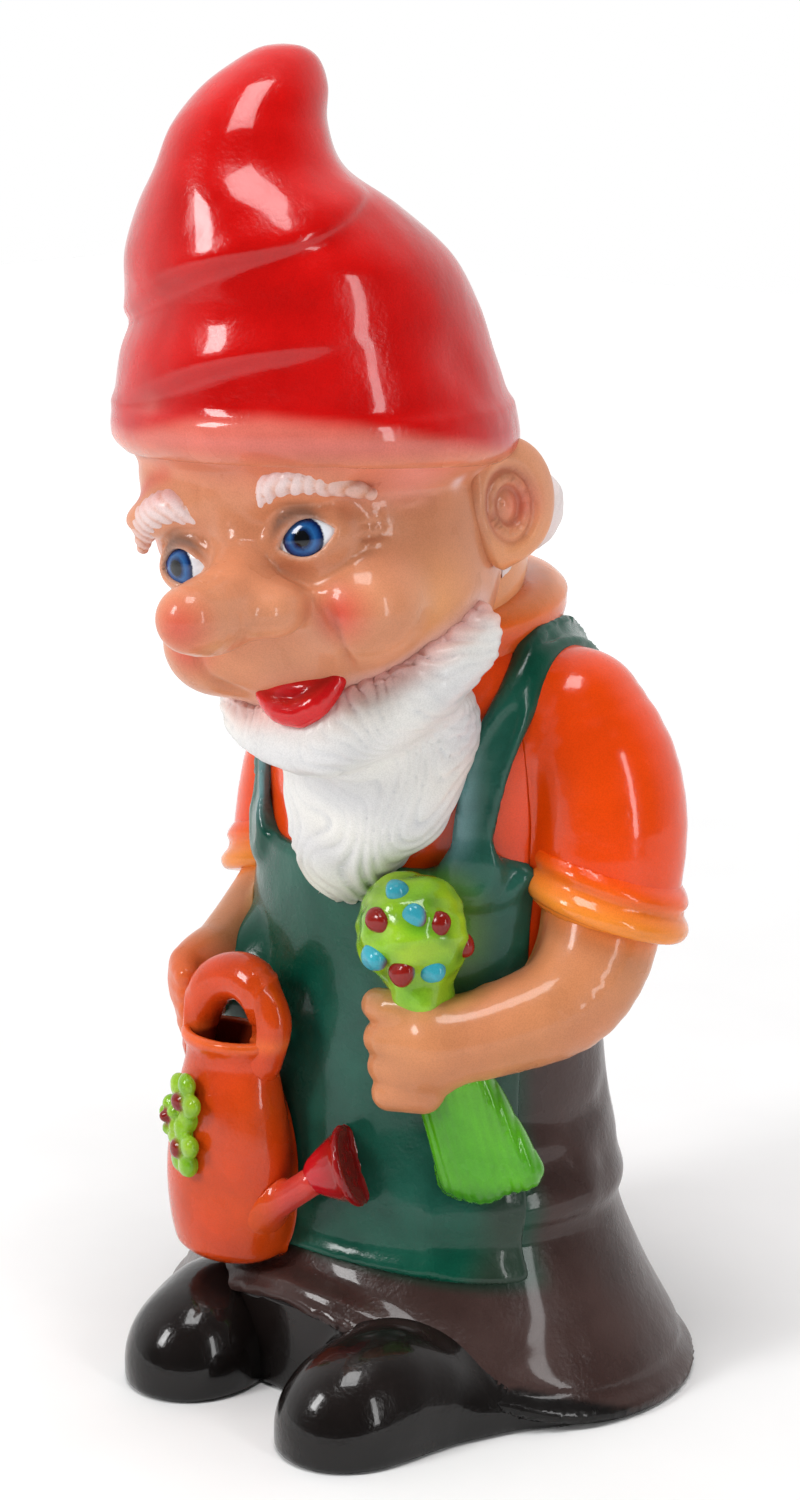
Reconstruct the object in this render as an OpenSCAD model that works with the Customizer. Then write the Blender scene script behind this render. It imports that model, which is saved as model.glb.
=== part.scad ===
// Garden gnome: a hollow, rotomoulded and hand-painted figure, split along its paint lines.
// The gnome faces -Y, its left hand is at +X, and it stands on z = 0. Lengths are in millimetres.

/* [Figure] */
// Overall height from the ground to the tip of the hat
figure_h = 680; // [400:10:900]
// Thickness of the moulded skin
wall = 3; // [2.5:0.1:3.5]
// Gap left between neighbouring zones of the skin
gap = 0.3; // [0.2:0.05:0.5]

/* [Body] */
// Half-width of the trouser hem
hem_w = 158; // [150:1:162]
// Half-width of the waist
waist_w = 97; // [94:1:100]
// Half-width of the chest
chest_w = 94; // [92:1:96]
// How far the trunk's middle lies behind the origin
trunk_y = 30; // [28:1:32]
// Height of the join between shirt and trousers
waist_z = 214; // [210:1:218]
// Height of the front of the hem above the ground
hem_lift = 50; // [44:1:54]

/* [Head] */
// Half-width of the skull
skull_r = 84; // [82:1:86]
// Turn of the head to the gnome's left
head_turn = 9; // [7:1:11]
// Nod of the head, forwards is positive
head_nod = 0; // [-2:1:2]
// Lean of the head to the gnome's right
head_lean = 16; // [14:1:17]
// Radius of an eyeball
eye_r = 13; // [12.5:0.5:13.5]

/* [Arms] */
// Radius of a sleeve
sleeve_r = 38; // [37:1:39]
// Radius of the left forearm near the elbow
arm_r = 26; // [25:1:27]

/* [Filler] */
// Radius of the filler bore in the underside
filler_r = 15; // [12:1:17]
// Radius of the plug's flange
flange_r = 20; // [19:1:24]

/* [Hidden] */

nominal_h = 680;
running_fit = 0.05;
LEFT = 1;
RIGHT = -1;

// Paint colours
skin_tone = [0.85, 0.60, 0.42];
hat_red = [0.78, 0.05, 0.04];
shirt_orange = [0.93, 0.29, 0.04];
apron_green = [0.09, 0.33, 0.25];
trouser_brown = [0.27, 0.19, 0.17];
boot_black = [0.05, 0.05, 0.05];
hair_white = [0.93, 0.92, 0.90];
can_orange = [0.88, 0.30, 0.08];
leaf_green = [0.35, 0.68, 0.13];
lip_red = [0.80, 0.08, 0.10];

// ---- Lofts -------------------------------------------------------------------------------
// A row of a loft is one ring:
// [z, centre x, centre y, half-width, front depth, back depth, tilt x, tilt y, front lift]
body_rows = [
    [0,   0, 25, hem_w,        118, 116, 0, 0, hem_lift],
    [18,  0, 25, hem_w * 0.95, 112, 110, 0, 0, hem_lift * 0.85],
    [50,  0, 26, hem_w * 0.82, 100,  96, 0, 0, hem_lift * 0.3],
    [84,  0, 27, hem_w * 0.71,  92,  85, 0, 0, 0],
    [104, 0, 28, hem_w * 0.72,  91,  85, 0, 0, 0],
    [141, 0, trunk_y, waist_w + 5,  87, 81, 0, 0, 0],
    [180, 0, trunk_y, waist_w + 1,  82, 78, 0, 0, 0],
    [waist_z, 0, trunk_y, waist_w,  78, 78, 0, 0, 0],
    [260, 0, trunk_y, chest_w + 1,  74, 82, 0, 0, 0],
    [300, 0, trunk_y, chest_w + 1,  72, 85, 0, 0, 0],
    [340, 0, trunk_y, chest_w,      67, 82, 0, 0, 0],
    [368, 0, trunk_y, chest_w - 7,  58, 72, 0, 0, 0],
    [386, 0, trunk_y, chest_w - 24, 48, 58, 0, 0, 0],
    [395, 0, trunk_y, 50,           38, 44, 0, 0, 0]
];
hat_rows = [
    [490, -1, -54,  95,  96,  94, 3, 5, 0],
    [498, -1, -55,  95,  96,  94, 3, 5, 0],
    [516, -1, -59,  93,  93,  93, 3, 4, 0],
    [534, -1, -62,  89,  90,  89, 2, 3, 0],
    [556,  0, -65,  83,  83,  82, 1, 1, 0],
    [580, -2, -73,  77,  77,  75, 0, 0, 0],
    [602, -5, -83,  61,  63,  60, 0, 0, 0],
    [620, -8, -92,  43,  48,  43, 0, 0, 0],
    [640, -10, -91, 35,  39,  36, 0, 0, 0],
    [658, -8, -83,  28,  32,  30, 0, 0, 0],
    [670, -5, -77,  18,  20,  20, 0, 0, 0],
    [678, -4, -75,   8,   9,   9, 0, 0, 0]
];
can_rows = [
    [60,  -42, -80, 18, 14, 12, 0, 0, 0],
    [66,  -42, -80, 30, 23, 20, 0, 0, 0],
    [80,  -42, -79, 36, 28, 24, 0, 0, 0],
    [112, -42, -79, 37, 29, 25, 0, 0, 0],
    [146, -42, -79, 32, 25, 22, 0, 0, 0],
    [170, -42, -78, 27, 20, 18, 0, 0, 0],
    [182, -42, -78, 28, 21, 18, 0, 0, 0]
];

HEM_POWER = 3.8;

// Point on a Catmull-Rom curve through rows a, b, c and d, at share t of the stretch from b to c
function spline(a, b, c, d, t) =
    b + 0.5 * t * ((c - a) + t * ((2 * a - 5 * b + 4 * c - d) + t * (3 * (b - c) + d - a)));

// Row of a loft at share u of its length, counted in rows
function row_at(rows, u) =
    let (last = len(rows) - 1, i = min(floor(u), last - 1))
    spline(rows[max(i - 1, 0)], rows[i], rows[i + 1], rows[min(i + 2, last)], u - i);

// The share of the loft at which its ring has height z
function u_at(rows, z, i = 0) =
    i >= len(rows) - 2 || rows[i + 1][0] >= z
    ? i + (z - rows[i][0]) / (rows[i + 1][0] - rows[i][0])
    : u_at(rows, z, i + 1);

// Point of a ring at angle a from the front, towards the gnome's left; grow moves it outwards
function ring_point(row, a, grow) =
    let (depth = cos(a) > 0 ? row[4] : row[5])
    [
        row[1] + (row[3] + grow) * sin(a),
        row[2] - (depth + grow) * cos(a),
        row[0] + row[6] * sin(a) + row[7] * cos(a) + row[8] * pow(max(0, cos(a)), HEM_POWER)
    ];

function ring(row, seg, grow) = [for (i = [0 : seg - 1]) ring_point(row, 360 * i / seg, grow)];

function mean(points) = [for (k = [0 : 2]) sum([for (p = points) p[k]]) / len(points)];
function sum(v, i = 0) = i == len(v) ? 0 : v[i] + sum(v, i + 1);
function flat(lists) = [for (l = lists) for (p = l) p];

// Closes a stack of rings, each with the same number of points, into one solid
module skin(rings) {
    n = len(rings[0]);
    m = len(rings);
    points = concat(flat(rings), [mean(rings[0]), mean(rings[m - 1])]);
    sides = [
        for (j = [0 : m - 2]) for (i = [0 : n - 1])
        let (a = j * n + i, b = j * n + (i + 1) % n)
        each [[a, a + n, b], [b, a + n, b + n]]
    ];
    bottom = [for (i = [0 : n - 1]) [i, (i + 1) % n, m * n]];
    top = [for (i = [0 : n - 1]) [(m - 1) * n + (i + 1) % n, (m - 1) * n + i, m * n + 1]];
    polyhedron(points = points, faces = concat(sides, bottom, top));
}

// Part of a loft from share u0 to share u1, moved outwards by grow
module loft(rows, u0, u1, steps, seg, grow = 0) {
    skin([for (k = [0 : steps]) ring(row_at(rows, u0 + (u1 - u0) * k / steps), seg, grow)]);
}

// Keeps a trimmed organic shape as one mesh
module as_mesh() {
    resize([0, 0, 0]) children();
}

// Smooth limb: balls joined one to the next. A stop is [[x, y, z], radius]
module limb(stops, grow = 0) {
    for (i = [0 : len(stops) - 2])
        hull() for (s = [stops[i], stops[i + 1]]) translate(s[0]) sphere(r = s[1] + grow);
}

module egg(at, radii, grow = 0) {
    translate(at) scale([for (r = radii) r + grow]) sphere(r = 1);
}

function mirrored(stops, side) = [for (s = stops) [[side * s[0][0], s[0][1], s[0][2]], s[1]]];

// ---- Body --------------------------------------------------------------------------------
BODY_TOP = len(body_rows) - 1;
waist_u = u_at(body_rows, waist_z);

// The two stretches of the trunk, below and above the waist
module lower_body(grow = 0) {
    loft(body_rows, 0, waist_u, 9, 32, grow);
}

module upper_body(grow = 0) {
    loft(body_rows, waist_u, BODY_TOP, 8, 32, grow);
}

module body(grow = 0) {
    lower_body(grow);
    upper_body(grow);
}

left_boot = [[62, -112], [66, -82], [82, -42]];
right_boot = [[-50, -104], [-53, -78], [-70, -40]];
BOOT_BACK = -20;

module boot_form(side, grow = 0) {
    $fn = 18;
    spots = side == LEFT ? left_boot : right_boot;
    r = [34, 35, 38];
    top = [20, 26, 20];
    hull() for (k = [0 : 2]) translate(spots[k]) {
        translate([0, 0, -grow]) cylinder(r = r[k] + grow - 1, h = 12 + grow);
        translate([0, 0, top[k]]) sphere(r = r[k] - 6 + grow);
    }
}

module boot_solid(side, grow = 0) {
    intersection() {
        boot_form(side, grow);
        translate([-200, -300, -grow]) cube([400, 300 + BOOT_BACK, 200]);
    }
}

module boot(side) {
    color(boot_black) as_mesh() difference() {
        boot_solid(side);
        translate([0, 0, wall]) boot_form(side, -wall);
        lower_body(gap);
        base_form(gap);
        apron_solid(gap);
    }
}

module trouser_wall(grow = 0) {
    difference() {
        lower_body(grow);
        translate([0, 0, -0.1]) loft(body_rows, 0, waist_u - 0.05, 7, 20, -wall - grow);
        translate([0, 0, -12]) loft(body_rows, 0, 2, 3, 20, -wall - grow);
        loft(body_rows, waist_u - 0.5, waist_u + 0.2, 2, 20, -wall - grow);
    }
}

// The groove between the two legs, at the front of the hem
module leg_groove() {
    $fn = 16;
    hull() {
        translate([4, -102, 30]) sphere(r = 9);
        translate([2, -72, 92]) sphere(r = 3);
        translate([2, -110, 92]) sphere(r = 3);
    }
}

module trousers() {
    color(trouser_brown) as_mesh() difference() {
        trouser_wall();
        leg_groove();
        translate([-200, -200, -10]) cube([400, 400, 10]);
    }
}

BASE_T = 10;
FLOOR_T = 4;
COUNTERBORE = 3;
FLANGE_RECESS = 0.5;

// Outline of the closed underside, inset from the hem; grow moves it outwards
module base_outline(grow = 0) {
    polygon([for (p = ring(row_at(body_rows, 0.7), 60, -wall - 5 + grow)) [p[0], p[1]]]);
}

module base_form(grow = 0) {
    translate([0, 0, -grow]) linear_extrude(BASE_T + 2 * grow) base_outline(grow);
}

module base_plate() {
    color(boot_black) difference() {
        base_form();
        difference() {
            translate([0, 0, FLOOR_T]) linear_extrude(BASE_T) base_outline(-8);
            translate([0, trunk_y, 0]) cylinder(r = flange_r + 6, h = BASE_T, $fn = 64);
        }
        translate([0, trunk_y, -1]) cylinder(r = filler_r, h = BASE_T + 2, $fn = 64);
        translate([0, trunk_y, -1]) cylinder(r = flange_r + 0.2, h = 1 + COUNTERBORE, $fn = 64);
    }
}

module filler_plug() {
    shank_r = filler_r - running_fit;
    color("dimgray") translate([0, trunk_y, 0]) difference() {
        union() {
            translate([0, 0, FLANGE_RECESS])
                cylinder(r = flange_r, h = COUNTERBORE - FLANGE_RECESS - 0.3, $fn = 64);
            translate([0, 0, FLANGE_RECESS]) cylinder(r = shank_r, h = 16, $fn = 64);
        }
        translate([0, 0, FLANGE_RECESS + 2]) cylinder(r = shank_r - 3, h = 20, $fn = 64);
    }
}

module shirt() {
    color(shirt_orange) as_mesh() difference() {
        upper_body();
        translate([0, 0, -0.5]) loft(body_rows, waist_u - 0.2, BODY_TOP - 0.3, 6, 20, -wall);
        translate([0, 0, waist_z - 5]) cube([400, 400, 10 + 2 * gap], center = true);
        translate([0, trunk_y, 390]) cylinder(r = 40, h = 30, center = true, $fn = 32);
        neck_solid(gap);
        head_solid(gap);
        hair_solid(gap);
        beard_solid(gap);
    }
}

// ---- Arms --------------------------------------------------------------------------------
left_sleeve = [
    [[88, 40, 342], sleeve_r],
    [[103, 40, 318], sleeve_r + 1],
    [[109, 38, 292], sleeve_r + 1],
    [[111, 32, 262], sleeve_r - 1]
];
right_sleeve = [
    [[-80, 42, 342], sleeve_r - 7],
    [[-88, 43, 318], sleeve_r - 5],
    [[-94, 38, 286], sleeve_r - 3],
    [[-95, 30, 250], sleeve_r - 4]
];
left_cuff = [[[111, 36, 272], sleeve_r + 3], [[113, 28, 248], sleeve_r + 4]];
right_cuff = [[[-95, 34, 256], sleeve_r - 1], [[-95, 26, 234], sleeve_r - 1]];
left_arm = [
    [[111, 34, 262], 29],
    [[116, 20, 232], 28],
    [[112, -2, 210], arm_r],
    [[90, -36, 200], 22],
    [[74, -54, 196], 23]
];
right_arm = [
    [[-90, 26, 254], 22],
    [[-90, 12, 236], 19],
    [[-86, -20, 218], 17],
    [[-80, -48, 204], 16]
];
left_fingers = [for (z = [210, 196, 182, 169]) [
    [[66, -62, z], 11],
    [[46, -64, z - 1], 9.5],
    [[41, -57, z - 2], 8]
]];
right_fingers = [for (k = [0 : 3]) [
    [[-84 + k, -54, 212 - 9 * k], 8],
    [[-84 + k, -68, 210 - 9 * k], 7.5],
    [[-76 + k, -76, 206 - 9 * k], 6.5]
]];

module sleeve_solid(side, grow = 0) {
    $fn = 20;
    limb(side == LEFT ? left_sleeve : right_sleeve, grow);
}

// Height of the middle of each cuff's lower edge
left_edge = 252;
right_edge = 232;

// Everything under the slanting lower edge of a cuff; lift raises the plane
module below_cuff(side, lift = 0) {
    edge = side == LEFT ? left_edge : right_edge;
    translate([side * 106, 30, edge + lift]) rotate([-14, side * 12, 0]) translate([-90, -90, -120])
        cube([180, 180, 120]);
}

CUFF_H = 22;

module cuff_solid(side, grow = 0) {
    $fn = 20;
    intersection() {
        hull() for (s = side == LEFT ? left_cuff : right_cuff) translate(s[0]) sphere(r = s[1] + grow);
        difference() {
            below_cuff(side, CUFF_H + grow);
            below_cuff(side, -grow);
        }
    }
}

module sleeve(side) {
    color(shirt_orange) as_mesh() difference() {
        sleeve_solid(side);
        sleeve_solid(side, -wall);
        below_cuff(side, 0);
        cuff_solid(side, gap);
        body(gap);
        strap_solid(side, gap);
        beard_solid(gap);
        collar_solid(gap);
    }
}

module cuff(side) {
    color(shirt_orange) as_mesh() difference() {
        cuff_solid(side);
        sleeve_solid(side, -wall);
        body(gap);
        apron_solid(gap);
        arm_solid(side, gap);
    }
}

module arm_solid(side, grow = 0) {
    $fn = 13;
    fingers = side == LEFT ? left_fingers : right_fingers;
    limb(side == LEFT ? left_arm : right_arm, grow);
    for (f = fingers) limb(f, grow, $fn = 10);
}

module arm_hollow(side) {
    $fn = 12;
    stops = side == LEFT ? left_arm : right_arm;
    limb([for (k = [0 : 3]) [stops[k][0] + [0, 0, k == 0 ? 20 : 0], stops[k][1]]], -wall);
}

module forearm(side) {
    color(skin_tone) as_mesh() difference() {
        arm_solid(side);
        arm_hollow(side);
        body(gap);
        apron_solid(gap);
        if (side == RIGHT) can_handle_solid(gap);
        if (side == RIGHT) can_body_solid(gap);
    }
}

// ---- Apron -------------------------------------------------------------------------------
APRON_T = 3;
APRON_GAP = 1.4;
// [share of the body, half-angle of the apron from the front]
apron_edge = [[2.45, 62], [3.2, 63], [4, 63], [5, 65], [6, 66], [7, 66], [8, 64], [8.4, 62]];

// Grown, it also fills the thin gap between the apron and the trunk
module apron_solid(grow = 0) {
    inner = grow > 0 ? -2 : APRON_GAP;
    steps = len(apron_edge) * 2 - 2;
    seg = 14;
    rings = [
        for (k = [0 : steps])
        let (e = apron_row(k / 2), row = row_at(body_rows, e[0]))
        concat(
            [for (i = [0 : seg]) ring_point(row, e[1] * (2 * i / seg - 1), APRON_GAP + APRON_T + grow)],
            [for (i = [seg : -1 : 0]) ring_point(row, e[1] * (2 * i / seg - 1), inner)]
        )
    ];
    skin_strip(rings);
}

function apron_row(v) =
    let (i = min(floor(v), len(apron_edge) - 2), t = v - i)
    apron_edge[i] * (1 - t) + apron_edge[i + 1] * t;

// Like skin, for rings that aren't convex: the two ends are closed as strips
module skin_strip(rings) {
    n = len(rings[0]);
    m = len(rings);
    sides = [
        for (j = [0 : m - 2]) for (i = [0 : n - 1])
        let (a = j * n + i, b = j * n + (i + 1) % n)
        each [[a, a + n, b], [b, a + n, b + n]]
    ];
    half = n / 2;
    bottom = [for (i = [0 : half - 2]) each [[i, i + 1, n - 2 - i], [i, n - 2 - i, n - 1 - i]]];
    o = (m - 1) * n;
    top = [
        for (i = [0 : half - 2])
        each [[o + i, o + n - 2 - i, o + i + 1], [o + i, o + n - 1 - i, o + n - 2 - i]]
    ];
    polyhedron(points = flat(rings), faces = concat(sides, bottom, top));
}

module apron() {
    color(apron_green) as_mesh() apron_solid();
}

strap_stops = [
    [[76, -32, 272], 17],
    [[76, -28, 300], 15],
    [[76, -18, 332], 13],
    [[78, 0, 356], 13],
    [[72, 30, 382], 13],
    [[66, 72, 376], 12],
    [[60, 100, 348], 12],
    [[54, 112, 300], 12],
    [[50, 112, 250], 12],
    [[46, 110, waist_z + 4], 12]
];

module strap_solid(side, grow = 0) {
    intersection() {
        limb(mirrored(strap_stops, side), grow, $fn = 12);
        translate([0, 0, 3]) body(APRON_GAP + APRON_T + grow - 0.7);
    }
}

module strap(side) {
    color(apron_green) as_mesh() difference() {
        strap_solid(side);
        body(gap);
        apron_solid(gap);
        hair_solid(gap);
    }
}

// ---- Head --------------------------------------------------------------------------------
head_c = [2, -48, 436];

module at_head() {
    translate(head_c) rotate([head_nod, -head_lean, head_turn]) children();
}

module skull(grow = 0) {
    $fn = 16;
    egg([0, 4, 14], [skull_r, skull_r + 2, 88], grow);
    egg([0, -24, 40], [78, 70, 40], grow);
    egg([0, -4, -26], [skull_r - 12, 70, 56], grow);
    egg([0, -14, -50], [46, 42, 36], grow);
}

nose_stops = [
    [[0, -82, 14], 11],
    [[0, -98, -8], 16],
    [[0, -124, -24], 20],
    [[0, -132, -26], 18]
];

module head_solid(grow = 0) {
    $fn = 14;
    at_head() {
        skull(grow);
        for (side = [LEFT, RIGHT]) {
            egg([side * 37, -57, -34], [28, 26, 26], grow);
            egg([side * 18, -94, -28], [13, 15, 12], grow);
        }
        limb(nose_stops, grow);
    }
}

HEAD_TOP = 505;

module head() {
    color(skin_tone) as_mesh() difference() {
        head_solid();
        at_head() skull(-wall);
        translate([-200, -300, HEAD_TOP]) cube([400, 400, 200]);
        neck_solid(gap - wall);
        for (side = [LEFT, RIGHT]) at_eye(side) sphere(r = eye_r + gap, $fn = 24);
        at_mouth() mouth_solid(gap);
    }
}

module at_eye(side) {
    at_head() translate([side * 33, -74, 8]) children();
}

module eye(side) {
    color("white") at_eye(side) sphere(r = eye_r, $fn = 48);
}

module neck_solid(grow = 0) {
    $fn = 16;
    limb([[[0, 26, 384], 44], [[0, 2, 412], 48]], grow);
}

module neck() {
    color(skin_tone) as_mesh() difference() {
        neck_solid();
        neck_solid(-wall);
        translate([-100, -100, 300]) cube([200, 300, 91]);
        head_solid(gap);
        beard_solid(gap);
        hair_solid(gap);
        for (side = [LEFT, RIGHT]) ear_solid(side, gap);
    }
}

module collar_solid(grow = 0) {
    translate([0, 26, 393]) rotate([8, 0, 0]) rotate_extrude($fn = 24)
        translate([60, 0]) circle(r = 12 + grow, $fn = 10);
}

module collar() {
    color(shirt_orange) as_mesh() difference() {
        collar_solid();
        neck_solid(gap);
        body(gap);
        head_solid(gap);
        beard_solid(gap);
        hair_solid(gap);
        for (side = [LEFT, RIGHT]) strap_solid(side, gap);
        for (side = [LEFT, RIGHT]) ear_solid(side, gap);
    }
}

module ear_solid(side, grow = 0) {
    $fn = 16;
    at_head() translate([side * 90, 24, -2]) rotate([0, side * 10, side * -35])
        egg([0, 0, 0], [11, 26, 32], grow);
}

module ear(side) {
    color(skin_tone) as_mesh() difference() {
        ear_solid(side);
        at_head() translate([side * 99, 16, -2]) rotate([0, side * 10, side * -35])
            scale([8, 15, 20]) sphere(r = 1, $fn = 14);
        head_solid(gap);
        hat_solid(gap);
        brim_solid(gap);
    }
}

module eyebrow(side) {
    color(hair_white) as_mesh() difference() {
        at_head() limb([
            [[side * 14, -92, 34], 6],
            [[side * 28, -91, 43], 8],
            [[side * 44, -81, 45], 8],
            [[side * 58, -68, 38], 6]
        ], $fn = 12);
        head_solid(gap);
        hat_solid(gap);
        brim_solid(gap);
    }
}

module at_mouth() {
    at_head() translate([0, -58, -62]) children();
}

module mouth_solid(grow = 0) {
    $fn = 16;
    hull() {
        egg([0, 0, -8], [15, 10, 10], grow);
        egg([20, 6, 7], [8, 8, 4], grow);
        egg([-20, 6, 7], [8, 8, 4], grow);
    }
}

module lips() {
    color(lip_red) as_mesh() difference() {
        at_mouth() mouth_solid();
        at_head() skull(-wall - 4);
        beard_solid(gap);
    }
}

// ---- Beard and hair ----------------------------------------------------------------------
beard_rim = [
    [[74, -4, -56], 13],
    [[56, -26, -74], 17],
    [[30, -42, -87], 18],
    [[0, -46, -92], 19]
];

module beard_solid(grow = 0) {
    $fn = 12;
    at_head() for (side = [LEFT, RIGHT]) limb(mirrored(beard_rim, side), grow);
    egg([24, -38, 350], [57, 38, 34], grow, $fn = 14);
    egg([22, -44, 320], [48, 28, 38], grow, $fn = 14);
    egg([10, -48, 288], [28, 19, 31], grow, $fn = 14);
}

module beard() {
    color(hair_white) as_mesh() difference() {
        beard_solid();
        head_solid(gap);
        at_mouth() mouth_solid(gap);
        body(gap);
        apron_solid(gap);
        for (side = [LEFT, RIGHT]) strap_solid(side, gap);
        for (side = [LEFT, RIGHT]) ear_solid(side, gap);
        bouquet_head_solid(gap);
    }
}

module hair_solid(grow = 0) {
    at_head() limb([
        [[86, 52, -6], 15],
        [[54, 86, -12], 19],
        [[0, 96, -14], 21],
        [[-54, 86, -12], 19],
        [[-86, 52, -6], 15]
    ], grow, $fn = 14);
}

module hair() {
    color(hair_white) as_mesh() difference() {
        hair_solid();
        head_solid(gap);
        hat_solid(gap);
        brim_solid(gap);
        for (side = [LEFT, RIGHT]) ear_solid(side, gap);
    }
}

// ---- Hat ---------------------------------------------------------------------------------
HAT_TOP = len(hat_rows) - 1;

module hat_solid(grow = 0) {
    loft(hat_rows, 0, HAT_TOP, 13, 28, grow);
}

module hat() {
    color(hat_red) as_mesh() difference() {
        hat_solid();
        translate([0, 0, -1]) loft(hat_rows, 0, HAT_TOP - 1, 8, 20, -wall);
        head_solid(gap);
        brim_solid(gap);
    }
}

// The soft roll round the hat's edge: its half-thickness and half-height
BRIM = [5, 10];

module brim_solid(grow = 0) {
    row = row_at(hat_rows, 0);
    closed_tube([
        for (k = [0 : 7])
        let (a = 45 * k, out = (BRIM[0] + grow) * cos(a) - 1, up = (BRIM[1] + grow) * sin(a) + 3)
        [for (i = [0 : 27]) ring_point(row, 360 * i / 28, out) + [0, 0, up]]
    ]);
}

// A ring-shaped tube: one loop for each point of the tube's section
module closed_tube(rings) {
    n = len(rings[0]);
    m = len(rings);
    faces = [
        for (j = [0 : m - 1]) for (i = [0 : n - 1])
        let (a = j * n + i, b = j * n + (i + 1) % n)
        let (c = ((j + 1) % m) * n + i, d = ((j + 1) % m) * n + (i + 1) % n)
        each [[a, c, b], [b, c, d]]
    ];
    polyhedron(points = flat(rings), faces = faces);
}

module hat_brim() {
    color(skin_tone) as_mesh() difference() {
        brim_solid();
        head_solid(gap);
    }
}

// ---- Watering can ------------------------------------------------------------------------
CAN_TOP = len(can_rows) - 1;

module can_body_solid(grow = 0) {
    loft(can_rows, 0, CAN_TOP, 8, 20, grow);
}

module can_body() {
    color(can_orange) as_mesh() difference() {
        can_body_solid();
        loft(can_rows, 1, CAN_TOP + 0.02, 6, 14, -wall);
        body(gap);
        apron_solid(gap);
        for (side = [LEFT, RIGHT]) boot_solid(side, gap);
    }
}

handle_stops = [
    [[-65, -80, 178], 6],
    [[-62, -78, 194], 6],
    [[-51, -76, 208], 7],
    [[-36, -75, 213], 7.5],
    [[-22, -75, 206], 7.5],
    [[-14, -76, 192], 7.5],
    [[-16, -78, 176], 7]
];

module can_handle_solid(grow = 0) {
    limb(handle_stops, grow, $fn = 14);
}

module can_handle() {
    color(can_orange) as_mesh() difference() {
        can_handle_solid();
        can_body_solid(gap);
        translate([-42, -78, 168]) scale([25, 18, 1]) cylinder(r = 1, h = 16, $fn = 20);
        body(gap);
        apron_solid(gap);
    }
}

spout_stops = [
    [[-30, -84, 88], 11],
    [[-12, -84, 98], 8],
    [[6, -82, 112], 7],
    [[14, -80, 118], 7]
];

module spout_solid(grow = 0) {
    limb(spout_stops, grow, $fn = 14);
}

module can_spout() {
    color(can_orange) as_mesh() difference() {
        spout_solid();
        can_body_solid(gap);
        rose_solid(gap);
        body(gap);
        apron_solid(gap);
    }
}

module rose_solid(grow = 0) {
    $fn = 24;
    translate([12, -80, 118]) rotate([0, 70, 24]) translate([0, 0, -grow])
        cylinder(r1 = 8 + grow, r2 = 20 + grow, h = 24 + 2 * grow);
}

module can_rose() {
    color(lip_red) as_mesh() difference() {
        rose_solid();
        body(gap);
        apron_solid(gap);
    }
}

// Heights of the two relief flowers on the can
flower_z = [144, 124];

module can_flower() {
    color(leaf_green) as_mesh() difference() {
        for (z = flower_z) translate([-59, -102, z]) rotate([0, 0, -32]) {
            $fn = 7;
            egg([0, -2, 0], [5, 4, 5]);
            for (a = [0 : 72 : 288]) rotate([0, a, 0]) egg([8, 0, 0], [6, 4, 5]);
        }
        can_body_solid(gap);
    }
}

// ---- Bouquet -----------------------------------------------------------------------------
bouquet_c = [58, -54, 248];

module bouquet_head_solid(grow = 0) {
    $fn = 16;
    egg(bouquet_c, [27, 25, 27], grow);
}

module bouquet_head() {
    color(leaf_green) as_mesh() difference() {
        bouquet_head_solid();
        body(gap);
        apron_solid(gap);
        strap_solid(LEFT, gap);
        arm_solid(LEFT, gap);
        blossoms_solid(gap);
    }
}

BLOSSOM_R = 5.5;
// Directions of the blossoms from the middle of the bouquet: [towards the left, upwards]
blossom_angles = [[-45, 20], [5, 30], [35, 12], [-30, -14], [-2, -22], [22, -12], [60, -20], [-10, 62]];

module blossoms_solid(grow = 0) {
    for (b = blossom_angles)
        translate(bouquet_c) rotate([0, 0, b[0]]) rotate([-b[1], 0, 0]) translate([0, -24, 0])
            sphere(r = BLOSSOM_R + grow, $fn = 8);
}

module bouquet_blossoms() {
    color("firebrick") as_mesh() difference() {
        blossoms_solid();
        body(gap);
        apron_solid(gap);
        arm_solid(LEFT, gap);
        beard_solid(gap);
    }
}

module bouquet_wrap() {
    $fn = 16;
    color(leaf_green) as_mesh() difference() {
        hull() {
            for (x = [-12, 12]) translate([76 + x, -46 + x / 2, 172]) sphere(r = 9);
            for (x = [-13, 13]) translate([92 + x, -36 + x / 2, 124]) sphere(r = 10);
        }
        body(gap);
        apron_solid(gap);
        arm_solid(LEFT, gap);
    }
}

// ---- Assembly ----------------------------------------------------------------------------
module figure() {
    scale(figure_h / nominal_h) children();
}

figure() trousers();
figure() base_plate();
figure() filler_plug();
figure() boot(LEFT);  // boot_left
figure() boot(RIGHT);  // boot_right
figure() shirt();
figure() collar();
figure() neck();
figure() sleeve(LEFT);  // sleeve_left
figure() sleeve(RIGHT);  // sleeve_right
figure() cuff(LEFT);  // cuff_left
figure() cuff(RIGHT);  // cuff_right
figure() forearm(LEFT);  // forearm_left
figure() forearm(RIGHT);  // forearm_right
figure() apron();
figure() strap(LEFT);  // strap_left
figure() strap(RIGHT);  // strap_right
figure() head();
figure() ear(LEFT);  // ear_left
figure() ear(RIGHT);  // ear_right
figure() eye(LEFT);  // eye_left
figure() eye(RIGHT);  // eye_right
figure() eyebrow(LEFT);  // eyebrow_left
figure() eyebrow(RIGHT);  // eyebrow_right
figure() lips();
figure() beard();
figure() hair();
figure() hat();
figure() hat_brim();
figure() can_body();
figure() can_handle();
figure() can_spout();
figure() can_rose();
figure() can_flower();
figure() bouquet_head();
figure() bouquet_blossoms();
figure() bouquet_wrap();
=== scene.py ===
import math

from functools import partial

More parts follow.
